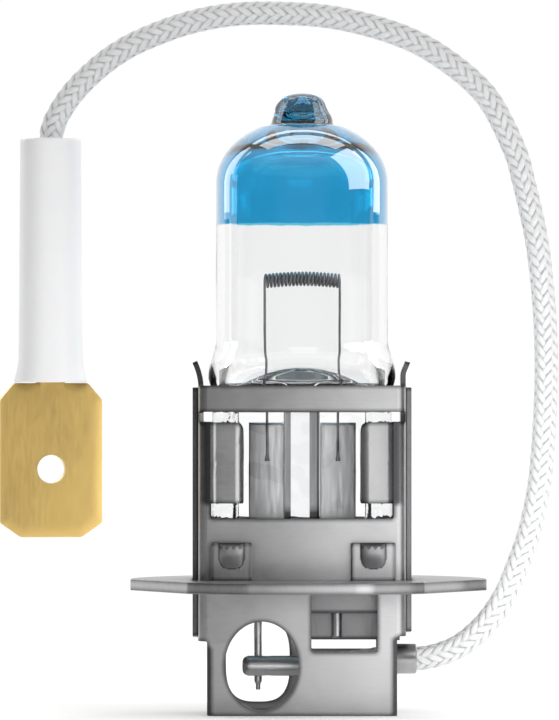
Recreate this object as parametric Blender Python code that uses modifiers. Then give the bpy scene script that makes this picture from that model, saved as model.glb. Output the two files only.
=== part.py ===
"""A halogen headlight bulb with a prefocus flange and a fly lead, as separate pieces.

The lamp axis is Z, and z = 0 is the cut lower edge of the sheet-steel cap. The cap's
front, with its spring fingers, faces -Y, and the fly lead leaves it towards +X.
"""

import math

import bmesh
import bpy
from mathutils import Matrix, Vector

MM = 0.001

# Quartz envelope: the bulb, the flat pinch under it and the exhaust tip on top.
BULB_RADIUS = 5.3 * MM
BULB_WALL = 1.0 * MM
BULB_STRAIGHT_Z = (22.4 * MM, 32.46 * MM)
DOME_HEIGHT = 4.1 * MM
TIP_RADIUS = 1.9 * MM
TIP_BASE_Z = 36.15 * MM
TIP_TOP_Z = 38.16 * MM
SHOULDER_HALF_WIDTH = 5.7 * MM
PINCH_HALF_WIDTH = 5.5 * MM
PINCH_TOP_Z = 19.9 * MM
PINCH_BOTTOM_Z = 8.8 * MM
PINCH_RIM_WIDTH = 1.45 * MM
PINCH_RIM_HALF_DEPTH = 1.7 * MM
PINCH_WEB_HALF_DEPTH = 1.25 * MM
CAVITY_FLOOR_Z = 20.5 * MM
CAVITY_CROWN_Z = 35.3 * MM
SECTION_POINTS = 48

# Filament, foils and outer leads.
COIL_X = (-2.28 * MM, 2.36 * MM)
COIL_Z = 26.6 * MM
COIL_RADIUS = 0.38 * MM
COIL_TURNS = 17.5
COIL_POINTS_A_TURN = 8
FILAMENT_DIAMETER = 0.17 * MM
LEG_X = (-2.15 * MM, 2.17 * MM)
LEG_END_Z = 15.54 * MM
FOIL_WIDTH = 2.2 * MM
FOIL_THICKNESS = 0.05 * MM
FOIL_X = (-2.16 * MM, 2.2 * MM)
FOIL_Z = (10.3 * MM, 17.9 * MM)
LEAD_START_Z = 11.5 * MM
FEED_LEAD_DIAMETER = 0.47 * MM
GROUND_LEAD_DIAMETER = 0.6 * MM
SEAL_GAP = 0.04 * MM

# Cap: two nested sheet channels, the front one inside the back one.
SHEET = 0.3 * MM
CAP_DEPTH = 7.0 * MM
FRONT_HALF_WIDTH = 6.36 * MM
BACK_HALF_WIDTH = 6.7 * MM
BEND_RADIUS = 0.6 * MM
CAP_TOP_Z = 20.19 * MM
BACK_TOP_Z = 20.06 * MM
WALL_FOOT_Z = (4.55 * MM, 4.86 * MM)
FOOT_HALF_WIDTH = 5.8 * MM
FOOT_WALL_TOP_Z = 4.2 * MM
WINDOW_HALF_WIDTH = 5.6 * MM
WINDOW_Z = (12.05 * MM, 18.58 * MM)
SLOT_Z = 17.93 * MM
FINGER_Z = (12.96 * MM, SLOT_Z)
FINGER_EDGE_X = 3.7 * MM
FINGER_CORNER = 0.9 * MM
EAR_HALF_DEPTH = 1.6 * MM
OVAL_X = (-4.73 * MM, -0.18 * MM)
OVAL_Z = (0.33 * MM, 5.76 * MM)
REAR_OVAL_X = (-4.7 * MM, -0.75 * MM)
HATCH_X = (0.57 * MM, 4.6 * MM)
HATCH_Z = (3.88 * MM, 7.45 * MM)

# Prefocus flange.
FLANGE_Z = (7.58 * MM, 8.28 * MM)
FLANGE_CENTRE_X = 0.405 * MM
FLANGE_RADIUS = 10.955 * MM
FLANGE_FRONT_Y = -10.3 * MM
FLANGE_FRONT_HALF_WIDTH = 3.84 * MM
FLANGE_SHOULDERS = ((-6.6 * MM, -8.3 * MM), (7.0 * MM, -8.2 * MM))
FIT_GAP = 0.04 * MM
TAB_THICKNESS = 0.5 * MM
TAB_TOP_Z = 10.58 * MM
TAB_X = ((-5.55 * MM, -3.05 * MM), (3.0 * MM, 5.7 * MM))
SCOOP_HALF_WIDTH = 0.78 * MM
SCOOP_DEPTH = 0.45 * MM
SCOOP_Z = (9.0 * MM, 10.5 * MM)

# Earth bracket and the crimp tube.
BRACKET_X = (0.35 * MM, 6.0 * MM)
BRACKET_FRONT_Y = (-1.25 * MM, -1.0 * MM)
BRACKET_REAR_Y = (0.05 * MM, 0.3 * MM)
BRACKET_Z = (4.55 * MM, 8.4 * MM)
BRACKET_FRONT_FOOT_Z = 6.2 * MM
CRIMP_RADIUS = 0.62 * MM
CRIMP_BORE = 0.47 * MM
CRIMP_X = (-3.67 * MM, 1.3 * MM)
CRIMP_Z = 2.94 * MM

# Fly lead, in its layers, and what is on it.
EXIT_Z = 3.37 * MM
FERRULE_X = (4.7 * MM, 7.05 * MM)
FERRULE_RADIUS = 0.92 * MM
FERRULE_BORE = 0.81 * MM
BRAID_DIAMETER = 1.5 * MM
BRAID_WALL = 0.17 * MM
INSULATION_DIAMETER = 1.08 * MM
INSULATION_WALL = 0.14 * MM
CONDUCTOR_DIAMETER = 0.72 * MM
LEAD_STATION = 2.5 * MM
TERMINAL_X = -15.46 * MM
SLEEVE_Z = (20.38 * MM, 35.39 * MM)
SLEEVE_RADII = (1.885 * MM, 1.98 * MM, 2.25 * MM)
SLEEVE_BORE = 1.3 * MM
SLEEVE_MOUTH_BORE = 0.86 * MM
BLADE_WIDTH = 6.3 * MM
BLADE_THICKNESS = 0.8 * MM
BLADE_Z = (10.86 * MM, 20.33 * MM)
BLADE_TURN = math.radians(9)
BLADE_HOLE_Z = 15.04 * MM
BLADE_HOLE_DIAMETER = 1.75 * MM
CORE_BARREL_Z = (21.8 * MM, 26.4 * MM)
CORE_BARREL_RADIUS = 0.85 * MM
CORE_BARREL_BORE = 0.43 * MM
GRIP_BARREL_Z = (27.3 * MM, 30.8 * MM)
GRIP_BARREL_RADIUS = 1.12 * MM
GRIP_BARREL_BORE = 0.81 * MM

# The fly lead's route in the plane y = 0, as (x, z) in millimetres, from the crimp tube
# out of the cap, up and over the bulb, and down into the terminal.
LEAD_ROUTE = (
    (-3.2, 2.94), (-1.0, 2.94), (1.2, 2.94), (3.0, 3.12), (4.8, 3.37), (7.05, 3.37),
    (8.55, 3.66), (9.91, 4.3), (11.32, 5.56), (12.43, 7.16), (13.17, 8.83), (14.03, 11.3),
    (14.65, 14.4), (14.94, 18.12), (15.03, 21.75), (14.87, 25.44), (14.44, 29.13),
    (13.64, 32.73), (12.98, 34.92), (11.26, 38.09), (8.49, 40.46), (5.66, 41.87),
    (2.03, 42.81), (-1.48, 43.08), (-4.55, 42.97), (-7.61, 42.3), (-11.02, 40.83),
    (-13.66, 38.67), (-15.2, 36.4), (-15.46, 34.6), (-15.46, 32.4), (-15.46, 29.0),
    (-15.46, 25.6), (-15.46, 22.6),
)
# Where each layer of the lead begins, as an x in the cap, and ends, as a z in the terminal.
BRAID_SPAN = (2.4 * MM, 27.1 * MM)
INSULATION_SPAN = (1.6 * MM, 26.8 * MM)

parts = bpy.data.collections.new("headlight_bulb")
cutters = bpy.data.collections.new("cutters")


def clear_scene():
    for item in list(bpy.data.objects):
        bpy.data.objects.remove(item)
    bpy.context.scene.collection.children.link(parts)
    bpy.context.scene.collection.children.link(cutters)
    cutters.hide_render = True


def new_material(name, colour, roughness, metallic=0.0, transmission=0.0):
    made = bpy.data.materials.new(name)
    made.use_nodes = True
    shader = made.node_tree.nodes["Principled BSDF"]
    shader.inputs["Base Color"].default_value = (*colour, 1)
    shader.inputs["Roughness"].default_value = roughness
    shader.inputs["Metallic"].default_value = metallic
    shader.inputs["Transmission Weight"].default_value = transmission
    return made


# Helpers for objects, primitives and Booleans.


def add(name, data, finish=None):
    """A new part with its material, or a cutter if it has none."""
    made = bpy.data.objects.new(name, data)
    if finish is None:
        cutters.objects.link(made)
        made.hide_render = True
        made.display_type = "WIRE"
        return made
    parts.objects.link(made)
    data.materials.append(finish)
    return made


def finished_mesh(bm, name):
    mesh = bpy.data.meshes.new(name)
    bm.to_mesh(mesh)
    bm.free()
    return mesh


def box(name, low, high, finish=None):
    low, high = Vector(low), Vector(high)
    bm = bmesh.new()
    place = Matrix.Translation((low + high) / 2) @ Matrix.Diagonal((*(high - low), 1))
    bmesh.ops.create_cube(bm, size=1, matrix=place)
    return add(name, finished_mesh(bm, name), finish)


def rod(name, start, end, diameter, sides=16, finish=None):
    start, end = Vector(start), Vector(end)
    along = end - start
    turn = along.to_track_quat("Z", "Y").to_matrix().to_4x4()
    bm = bmesh.new()
    bmesh.ops.create_cone(
        bm, cap_ends=True, segments=sides, radius1=diameter / 2, radius2=diameter / 2,
        depth=along.length, matrix=Matrix.Translation((start + end) / 2) @ turn,
    )
    return add(name, finished_mesh(bm, name), finish)


def to_mesh_object(source, finish=None):
    """The evaluated object as a plain mesh object of the same name, its caps welded on."""
    bpy.context.view_layer.update()
    graph = bpy.context.evaluated_depsgraph_get()
    mesh = bpy.data.meshes.new_from_object(source.evaluated_get(graph))
    bm = bmesh.new()
    bm.from_mesh(mesh)
    bm.transform(source.matrix_world)
    bmesh.ops.remove_doubles(bm, verts=bm.verts, dist=1e-7)
    bmesh.ops.recalc_face_normals(bm, faces=bm.faces)
    bm.to_mesh(mesh)
    bm.free()
    name = source.name
    bpy.data.objects.remove(source)
    mesh.materials.clear()
    return add(name, mesh, finish)


def outline_curve(name, loops, thickness):
    """A filled flat shape of one or more closed loops, the inner ones holes."""
    curve = bpy.data.curves.new(name, "CURVE")
    curve.dimensions = "2D"
    curve.fill_mode = "BOTH"
    curve.extrude = thickness / 2
    for loop in loops:
        spline = curve.splines.new("POLY")
        spline.points.add(len(loop) - 1)
        for point, (u, v) in zip(spline.points, loop):
            point.co = (u, v, 0, 1)
        spline.use_cyclic_u = True
    made = bpy.data.objects.new(name, curve)
    cutters.objects.link(made)
    return made


def upright_prism(name, loops, z_span, finish=None):
    """A plan outline in X and Y, raised between two heights."""
    shape = outline_curve(name, loops, z_span[1] - z_span[0])
    shape.location.z = sum(z_span) / 2
    return to_mesh_object(shape, finish)


def facing_prism(name, loops, y_span, finish=None):
    """A front-view outline in X and Z, given depth between two values of Y."""
    shape = outline_curve(name, loops, y_span[1] - y_span[0])
    shape.rotation_euler.x = math.pi / 2
    shape.location.y = sum(y_span) / 2
    return to_mesh_object(shape, finish)


def wire(name, points, diameter, finish, radii=None, capped=True):
    curve = bpy.data.curves.new(name, "CURVE")
    curve.dimensions = "3D"
    curve.bevel_depth = diameter / 2
    curve.bevel_resolution = 2
    curve.use_fill_caps = capped
    spline = curve.splines.new("POLY")
    spline.points.add(len(points) - 1)
    for index, (point, place) in enumerate(zip(spline.points, points)):
        point.co = (*place, 1)
        point.radius = radii[index] if radii else 1
    spline.use_smooth = True
    return add(name, curve, finish)


def turned(name, profile, finish=None, sides=24):
    """A closed profile of (radius, z) points, its outer side first and downwards, turned about Z."""
    bm = bmesh.new()
    ring = [bm.verts.new((radius, 0, z)) for radius, z in profile]
    for start, end in zip(ring, ring[1:] + ring[:1]):
        bm.edges.new((start, end))
    made = add(name, finished_mesh(bm, name), finish)
    screw = made.modifiers.new("turn", "SCREW")
    screw.axis = "Z"
    screw.steps = sides
    screw.render_steps = sides
    screw.use_merge_vertices = True
    screw.merge_threshold = 1e-6
    screw.use_smooth_shade = True
    return made


def combine(target, other, operation, solver="EXACT"):
    modifier = target.modifiers.new(operation.lower(), "BOOLEAN")
    modifier.operation = operation
    modifier.solver = solver
    modifier.object = other


def cut(target, *others, solver="EXACT"):
    for other in others:
        combine(target, other, "DIFFERENCE", solver)


def join(target, *others):
    for other in others:
        combine(target, other, "UNION")


def arc(centre, radius, start_degrees, end_degrees, steps=5):
    """Points along an arc, both ends included."""
    points = []
    for step in range(steps + 1):
        angle = math.radians(start_degrees + (end_degrees - start_degrees) * step / steps)
        points.append((centre[0] + radius * math.cos(angle), centre[1] + radius * math.sin(angle)))
    return points


def rectangle(x_span, y_span):
    (x0, x1), (y0, y1) = x_span, y_span
    return [(x0, y0), (x1, y0), (x1, y1), (x0, y1)]


def ellipse(x_span, z_span, points=32, squareness=2.0):
    """An oval between two limits each way; over 2, squareness fills its corners."""
    half = (x_span[1] - x_span[0]) / 2, (z_span[1] - z_span[0]) / 2
    middle = sum(x_span) / 2, sum(z_span) / 2
    loop = []
    for index in range(points):
        c = math.cos(2 * math.pi * index / points)
        s = math.sin(2 * math.pi * index / points)
        loop.append((
            middle[0] + half[0] * math.copysign(abs(c) ** (2 / squareness), c),
            middle[1] + half[1] * math.copysign(abs(s) ** (2 / squareness), s),
        ))
    return loop


def smoothstep(value, low, high):
    t = min(max((value - low) / (high - low), 0), 1)
    return t * t * (3 - 2 * t)


# Quartz envelope.


def glass_section(z, half_width, half_depth, roundness, rim):
    """A ring of points at height z. Roundness 2 is an ellipse; more squares its ends.

    Rim, from 0 to 1, thins all but the two side rims to the pinch's web.
    """
    ring = []
    for index in range(SECTION_POINTS):
        angle = 2 * math.pi * index / SECTION_POINTS
        c, s = math.cos(angle), math.sin(angle)
        x = half_width * c
        y = half_depth * (1 - min(abs(c), 1) ** roundness) ** (1 / roundness)
        inside_rim = smoothstep(half_width - abs(x), PINCH_RIM_WIDTH * 0.7, PINCH_RIM_WIDTH * 1.2)
        y *= 1 - rim * inside_rim * (1 - PINCH_WEB_HALF_DEPTH / PINCH_RIM_HALF_DEPTH)
        ring.append((x, math.copysign(y, s) if abs(s) > 1e-9 else 0, z))
    return ring


def loft(rings, bottom, top):
    """A closed body through rings of equal count, with a fan to a point at each end."""
    bm = bmesh.new()
    made = [[bm.verts.new(point) for point in ring] for ring in rings]
    for lower, upper in zip(made, made[1:]):
        for i in range(len(lower)):
            j = (i + 1) % len(lower)
            bm.faces.new((lower[i], lower[j], upper[j], upper[i]))
    for ring, centre in ((made[0][::-1], bottom), (made[-1], top)):
        apex = bm.verts.new(centre)
        for i in range(len(ring)):
            bm.faces.new((ring[i], ring[(i + 1) % len(ring)], apex))
    bmesh.ops.recalc_face_normals(bm, faces=bm.faces)
    return bm


def dome_radius(z, radius, start, height):
    return radius * math.sqrt(max(1 - (max(z - start, 0) / height) ** 2.2, 0))


def outer_glass_rings():
    rings = []
    pinch_zs = (PINCH_BOTTOM_Z, PINCH_BOTTOM_Z + 0.35 * MM, 12 * MM, 18 * MM, PINCH_TOP_Z)
    for index, z in enumerate(pinch_zs):
        edge = 0.3 * MM if index == 0 else 0
        rings.append(glass_section(z, PINCH_HALF_WIDTH - edge, PINCH_RIM_HALF_DEPTH - edge, 8, 1))
    shoulder_top = BULB_STRAIGHT_Z[0]
    for step in range(1, 9):
        z = PINCH_TOP_Z + (shoulder_top - PINCH_TOP_Z) * step / 8
        blend = smoothstep(z, PINCH_TOP_Z, shoulder_top)
        width = PINCH_HALF_WIDTH + (SHOULDER_HALF_WIDTH - PINCH_HALF_WIDTH) * min(step / 3, 1)
        width += (BULB_RADIUS - SHOULDER_HALF_WIDTH) * smoothstep(step, 4, 8)
        depth = PINCH_RIM_HALF_DEPTH + (BULB_RADIUS - PINCH_RIM_HALF_DEPTH) * blend
        rings.append(glass_section(z, width, depth, 8 - 6 * min(blend * 1.6, 1), 1 - blend))
    for z in (26 * MM, 29 * MM, BULB_STRAIGHT_Z[1]):
        rings.append(glass_section(z, BULB_RADIUS, BULB_RADIUS, 2, 0))
    for step in range(1, 9):
        z = BULB_STRAIGHT_Z[1] + (TIP_BASE_Z - BULB_STRAIGHT_Z[1]) * math.sin(math.pi / 2 * step / 8)
        radius = dome_radius(z, BULB_RADIUS, BULB_STRAIGHT_Z[1], DOME_HEIGHT)
        rings.append(glass_section(z, radius, radius, 2, 0))
    tip_height = TIP_TOP_Z - TIP_BASE_Z
    for share, size in ((0.12, 0.96), (0.35, 0.88), (0.6, 0.76), (0.82, 0.55), (0.95, 0.28)):
        z = TIP_BASE_Z + tip_height * share
        rings.append(glass_section(z, TIP_RADIUS * size, TIP_RADIUS * size, 2, 0))
    return rings


def cavity_rings():
    radius = BULB_RADIUS - BULB_WALL
    rings = []
    for rise, width, depth in ((0.1, 0.5, 0.1), (0.5, 0.86, 0.35), (1.1, 0.97, 0.68), (1.9, 1, 0.95)):
        rings.append(glass_section(CAVITY_FLOOR_Z + rise * MM, radius * width, radius * depth, 2, 0))
    for z in (23.5 * MM, 28 * MM, BULB_STRAIGHT_Z[1]):
        rings.append(glass_section(z, radius, radius, 2, 0))
    height = CAVITY_CROWN_Z - BULB_STRAIGHT_Z[1]
    for share in (0.4, 0.7, 0.88, 0.97):
        z = BULB_STRAIGHT_Z[1] + height * share
        reach = dome_radius(z, radius, BULB_STRAIGHT_Z[1], height)
        rings.append(glass_section(z, reach, reach, 2, 0))
    return rings


def leg_route(side):
    """One straight filament leg, from the coil's end down to its weld on the foil."""
    x_top = COIL_X[side]
    y_top = (-COIL_RADIUS, COIL_RADIUS)[side]
    y_weld = -(FOIL_THICKNESS + FILAMENT_DIAMETER) / 2 - SEAL_GAP
    return [
        (x_top, y_top, COIL_Z),
        (x_top, y_top, COIL_Z - 0.8 * MM),
        (x_top * 0.7 + LEG_X[side] * 0.3, y_top * 0.6 + y_weld * 0.4, 23.5 * MM),
        (LEG_X[side], y_weld, 21.2 * MM),
        (LEG_X[side], y_weld, 18 * MM),
        (LEG_X[side], y_weld, LEG_END_Z + 0.15 * MM),
        (LEG_X[side], y_weld, LEG_END_Z),
    ]


def lead_depth(diameter):
    """How far in front of the foil's mid-plane an outer lead's axis lies."""
    return -(FOIL_THICKNESS + diameter) / 2 - SEAL_GAP


def make_envelope(finish):
    crown = (0, 0, TIP_TOP_Z)
    body = loft(outer_glass_rings(), (0, 0, PINCH_BOTTOM_Z), crown)
    envelope = add("quartz_envelope", finished_mesh(body, "quartz_envelope"), finish)
    hollow = loft(cavity_rings(), (0, 0, CAVITY_FLOOR_Z), (0, 0, CAVITY_CROWN_Z))
    cut(envelope, add("cavity", finished_mesh(hollow, "cavity")))
    slot = FOIL_THICKNESS / 2 + SEAL_GAP
    for side, diameter in enumerate((FEED_LEAD_DIAMETER, GROUND_LEAD_DIAMETER)):
        left = FOIL_X[side] - FOIL_WIDTH / 2 - SEAL_GAP
        right = FOIL_X[side] + FOIL_WIDTH / 2 + SEAL_GAP
        low = (left, -slot, FOIL_Z[0] - SEAL_GAP)
        high = (right, slot, FOIL_Z[1] + SEAL_GAP)
        y = leg_route(side)[-1][1]
        foot, head = (LEG_X[side], y, LEG_END_Z - 0.2 * MM), (LEG_X[side], y, 21.3 * MM)
        lead_y = lead_depth(diameter)
        end = (LEG_X[side], lead_y, LEAD_START_Z + 0.1 * MM)
        outside = (LEG_X[side], lead_y, PINCH_BOTTOM_Z - 1 * MM)
        cut(
            envelope,
            box(f"foil_slot_{side}", low, high),
            rod(f"leg_channel_{side}", foot, head, FILAMENT_DIAMETER * 1.9 + 2 * SEAL_GAP, 12),
            rod(f"lead_channel_{side}", outside, end, diameter + 2 * SEAL_GAP, 12),
            solver="MANIFOLD",
        )


def make_filament(finish):
    points = leg_route(0)[::-1]
    total = int(COIL_TURNS * COIL_POINTS_A_TURN)
    for step in range(1, total):
        share = step / total
        angle = 2 * math.pi * COIL_TURNS * share
        x = COIL_X[0] + (COIL_X[1] - COIL_X[0]) * share
        points.append((x, -COIL_RADIUS * math.cos(angle), COIL_Z + COIL_RADIUS * math.sin(angle)))
    points += leg_route(1)
    weld = 1.8
    radii = [weld, weld] + [1] * (len(points) - 4) + [weld, weld]
    wire("filament", points, FILAMENT_DIAMETER, finish, radii)


def make_foils(finish):
    for side, name in enumerate(("foil_feed", "foil_ground")):
        low = (FOIL_X[side] - FOIL_WIDTH / 2, -FOIL_THICKNESS / 2, FOIL_Z[0])
        high = (FOIL_X[side] + FOIL_WIDTH / 2, FOIL_THICKNESS / 2, FOIL_Z[1])
        box(name, low, high, finish)


def make_outer_leads(finish):
    y = lead_depth(FEED_LEAD_DIAMETER)
    behind = CRIMP_RADIUS + FEED_LEAD_DIAMETER / 2 + 0.03 * MM
    x = -2.7 * MM
    feed = [
        (LEG_X[0], y, LEAD_START_Z), (LEG_X[0], y, PINCH_BOTTOM_Z), (LEG_X[0], y, 8.2 * MM),
        (-2.3 * MM, y + 0.2 * MM, 7.4 * MM), (-2.55 * MM, behind * 0.5, 6.6 * MM),
        (x, behind, 5.6 * MM), (x, behind, 3.6 * MM), (x, behind, 2.2 * MM),
        (x, behind, 1.9 * MM), (x, behind, 1.44 * MM),
    ]
    wire("lead_feed", feed, FEED_LEAD_DIAMETER, finish, [1] * 8 + [0.62, 0.6])
    y = lead_depth(GROUND_LEAD_DIAMETER)
    welded_y = BRACKET_REAR_Y[0] - GROUND_LEAD_DIAMETER / 2 - 0.03 * MM
    x = 2.15 * MM
    ground = [
        (LEG_X[1], y, LEAD_START_Z), (LEG_X[1], y, PINCH_BOTTOM_Z),
        (x, y, 8.2 * MM), (x, welded_y, 7.4 * MM), (x, welded_y, BRACKET_Z[0] + 0.1 * MM),
    ]
    wire("lead_ground", ground, GROUND_LEAD_DIAMETER, finish)


# Cap.


def channel_outline(half_width, closed_y, open_y):
    """The plan of a sheet channel: a flat wall at closed_y and two side walls bent towards open_y."""
    way = 1 if open_y > closed_y else -1
    turn = closed_y + way * BEND_RADIUS
    centre = (half_width - BEND_RADIUS, turn)
    outer = arc(centre, BEND_RADIUS, 0, -90 * way)
    inner = arc(centre, BEND_RADIUS - SHEET, -90 * way, 0)
    right = [(half_width, open_y)] + outer
    back_in = inner + [(half_width - SHEET, open_y)]
    left = [(-x, y) for x, y in reversed(right)]
    left_in = [(-x, y) for x, y in reversed(back_in)]
    return right + left + left_in + back_in


def finger_outline(side, front):
    """The plan of a spring finger, pressed in from the cap's wall to touch the pinch's rim."""
    middle = ((5.82, 3.35), (5.45, 3.34), (5.05, 3.16), (4.6, 2.84), (4.2, 2.54), (3.7, 2.3))
    outer = [(x, y + SHEET / 2 / MM) for x, y in middle]
    inner = [(x, y - SHEET / 2 / MM) for x, y in reversed(middle)]
    return [(side * x * MM, front * y * MM) for x, y in outer + inner]


def corner_loop(x, z, radius, side):
    """The bit outside a quarter round, whose square corner is at (x, z)."""
    centre = (x + side * radius, z - radius)
    start = 180 if side > 0 else 0
    edge = 0.2 * MM
    round_off = arc(centre, radius, start, 90, 6)
    return [(x - side * edge, z - radius)] + round_off + [
        (x + side * radius, z + edge), (x - side * edge, z + edge)
    ]


def add_fingers(shell, front, finish_name):
    """Two spring fingers at front -1 or back +1, each with its upper inner corner rounded."""
    y_span = sorted((front * 1.8 * MM, front * 4 * MM))
    for side in (-1, 1):
        name = f"{finish_name}_finger_{'left' if side < 0 else 'right'}"
        finger = upright_prism(name, [finger_outline(side, front)], FINGER_Z)
        corner = corner_loop(side * FINGER_EDGE_X, FINGER_Z[1], FINGER_CORNER, side)
        cut(finger, facing_prism(f"{name}_corner", [corner], y_span))
        join(shell, finger)


def cut_windows(shell, label, y_span, side_limit):
    """The wide window with the fingers in it, and the slot over them that cuts into the bends."""
    low_y, high_y = y_span
    width = WINDOW_HALF_WIDTH
    cut(
        shell,
        box(f"{label}_window", (-width, low_y, WINDOW_Z[0]), (width, high_y, WINDOW_Z[1])),
        box(f"{label}_slot", (-side_limit, low_y, SLOT_Z), (side_limit, high_y, WINDOW_Z[1])),
    )


def trim_foot(shell, label):
    """Cuts the side walls off above the foot, and narrows the wall that runs down to z = 0."""
    reach = 8 * MM
    for side, foot in zip((-1, 1), WALL_FOOT_Z):
        slant = 0.35 * MM
        edge = side * FOOT_HALF_WIDTH
        loop = [
            (edge, -1 * MM), (side * reach, -1 * MM), (side * reach, foot + slant * 0.6), (edge, foot)
        ]
        name = f"{label}_foot_{'left' if side < 0 else 'right'}"
        cut(shell, facing_prism(name, [loop], (-reach, reach)))


def add_foot_walls(shell):
    """The narrower side walls below, the right one with the hole for the fly lead's ferrule."""
    depth = CAP_DEPTH / 2
    for side in (-1, 1):
        outer = side * FOOT_HALF_WIDTH
        xs = sorted((outer, outer - side * SHEET))
        name = f"foot_wall_{'left' if side < 0 else 'right'}"
        low = (xs[0], -depth + SHEET / 2, 0)
        high = (xs[1], depth - SHEET - 0.1 * MM, FOOT_WALL_TOP_Z)
        join(shell, box(name, low, high))
    start, end = (5 * MM, 0, EXIT_Z), (7 * MM, 0, EXIT_Z)
    hole = 2 * (FERRULE_RADIUS + FIT_GAP)
    cut(shell, rod("lead_exit_hole", start, end, hole, 24))


def ear_outline(side):
    """The front view of an ear bent out from the top of a side wall."""
    z = CAP_TOP_Z / MM
    if side < 0:
        loop = ((6.36, z - 0.8), (6.36, z - 0.1), (6.52, z + 0.6), (6.74, z + 1.4),
                (6.53, z + 1.45), (6.3, z + 0.65), (6.12, z - 0.1), (6.12, z - 0.8))
    else:
        loop = ((6.36, z - 0.8), (6.32, z), (6.34, z + 0.7), (6.44, z + 1.1), (6.62, z + 1.4),
                (6.45, z + 1.5), (6.22, z + 1.2), (6.1, z + 0.7), (6.08, z), (6.12, z - 0.8))
    return [(side * x * MM, z * MM) for x, z in loop]


def make_front_shell(finish):
    depth = CAP_DEPTH / 2
    outline = channel_outline(FRONT_HALF_WIDTH, -depth, depth - 0.8 * MM)
    shell = upright_prism("front_shell", [outline], (0, CAP_TOP_Z), finish)
    trim_foot(shell, "front")
    y_span = (-depth - 1 * MM, -depth + 0.7 * MM)
    cut_windows(shell, "front", y_span, FRONT_HALF_WIDTH - SHEET)
    cut(
        shell,
        facing_prism("front_oval", [ellipse(OVAL_X, OVAL_Z)], y_span),
        facing_prism("front_hatch", [rectangle(HATCH_X, HATCH_Z)], y_span),
    )
    add_fingers(shell, -1, "front")
    add_foot_walls(shell)
    for side in (-1, 1):
        name = f"ear_{'left' if side < 0 else 'right'}"
        join(shell, facing_prism(name, [ear_outline(side)], (-EAR_HALF_DEPTH, EAR_HALF_DEPTH)))


def make_back_shell(finish):
    depth = CAP_DEPTH / 2
    outline = channel_outline(BACK_HALF_WIDTH, depth, -depth + 0.9 * MM)
    shell = upright_prism("back_shell", [outline], (0, BACK_TOP_Z), finish)
    trim_foot(shell, "back")
    y_span = (depth - 0.7 * MM, depth + 1 * MM)
    cut_windows(shell, "back", y_span, BACK_HALF_WIDTH - BEND_RADIUS)
    rear_oval = ellipse(REAR_OVAL_X, (0.6 * MM, 5.7 * MM), 16, 3)
    cut(
        shell,
        facing_prism("rear_oval", [rear_oval], y_span),
        facing_prism("rear_hatch", [rectangle(HATCH_X, HATCH_Z)], y_span),
    )
    add_fingers(shell, 1, "back")


# Prefocus flange.


def flange_outline():
    """A round back and a front of flats, as a loop that starts at the left end."""
    left_shoulder, right_shoulder = FLANGE_SHOULDERS
    front = [
        left_shoulder, (-FLANGE_FRONT_HALF_WIDTH, FLANGE_FRONT_Y),
        (FLANGE_FRONT_HALF_WIDTH, FLANGE_FRONT_Y), right_shoulder,
    ]
    return front + arc((FLANGE_CENTRE_X, 0), FLANGE_RADIUS, 0, 180, 28)


def make_flange(finish):
    depth = CAP_DEPTH / 2 + FIT_GAP
    width = BACK_HALF_WIDTH + FIT_GAP
    opening = rectangle((-width, width), (-depth, depth))
    flange = upright_prism("flange", [flange_outline(), opening], FLANGE_Z, finish)
    root = FLANGE_Z[0] + 0.2 * MM
    for front in (-1, 1):
        for xs in TAB_X:
            label = f"{'front' if front < 0 else 'back'}_{'left' if xs[0] < 0 else 'right'}"
            ys = sorted((front * depth, front * (depth + TAB_THICKNESS)))
            join(flange, box(f"tab_{label}", (xs[0], ys[0], root), (xs[1], ys[1], TAB_TOP_Z)))
            join(flange, scoop(label, sum(xs) / 2, front))


def scoop(label, x, front):
    """The lanced swelling that locks a tab: a half cup, open at its top edge."""
    bottom, top = SCOOP_Z
    face = front * (CAP_DEPTH / 2 + FIT_GAP + TAB_THICKNESS)
    bm = bmesh.new()
    size = Matrix.Diagonal((SCOOP_HALF_WIDTH, SCOOP_DEPTH, top - bottom, 1))
    place = Matrix.Translation((x, face - front * 0.05 * MM, top)) @ size
    bmesh.ops.create_uvsphere(bm, u_segments=12, v_segments=8, radius=1, matrix=place)
    cup = add(f"scoop_{label}", finished_mesh(bm, f"scoop_{label}"))
    side = 2 * MM
    inner = face - front * (TAB_THICKNESS / 2)
    ys = sorted((inner, inner - front * side))
    cut(
        cup,
        box(f"scoop_top_{label}", (x - side, face - side, top - 0.02 * MM), (x + side, face + side, top + side)),
        box(f"scoop_back_{label}", (x - side, ys[0], bottom - side), (x + side, ys[1], top + side)),
    )
    return cup


# Inside the cap's foot.


def make_earth_bracket(finish):
    x0, x1 = BRACKET_X
    (front_out, front_in), (rear_in, rear_out) = BRACKET_FRONT_Y, BRACKET_REAR_Y
    web = x1 - 0.25 * MM
    loop = [
        (x0, front_out), (x1, front_out), (x1, rear_out), (x0, rear_out),
        (x0, rear_in), (web, rear_in), (web, front_in), (x0, front_in),
    ]
    bracket = upright_prism("earth_bracket", [loop], BRACKET_Z, finish)
    low = (-1 * MM, front_out - 1 * MM, 0)
    high = (web - 0.3 * MM, front_in + 0.3 * MM, BRACKET_FRONT_FOOT_Z)
    cut(bracket, box("front_leaf_foot", low, high))


def lay_along_x(made, x, z):
    """Turns a piece made about Z so that its top points to +X, and places it."""
    made.rotation_euler.y = math.pi / 2
    made.location = (x, 0, z)


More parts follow.
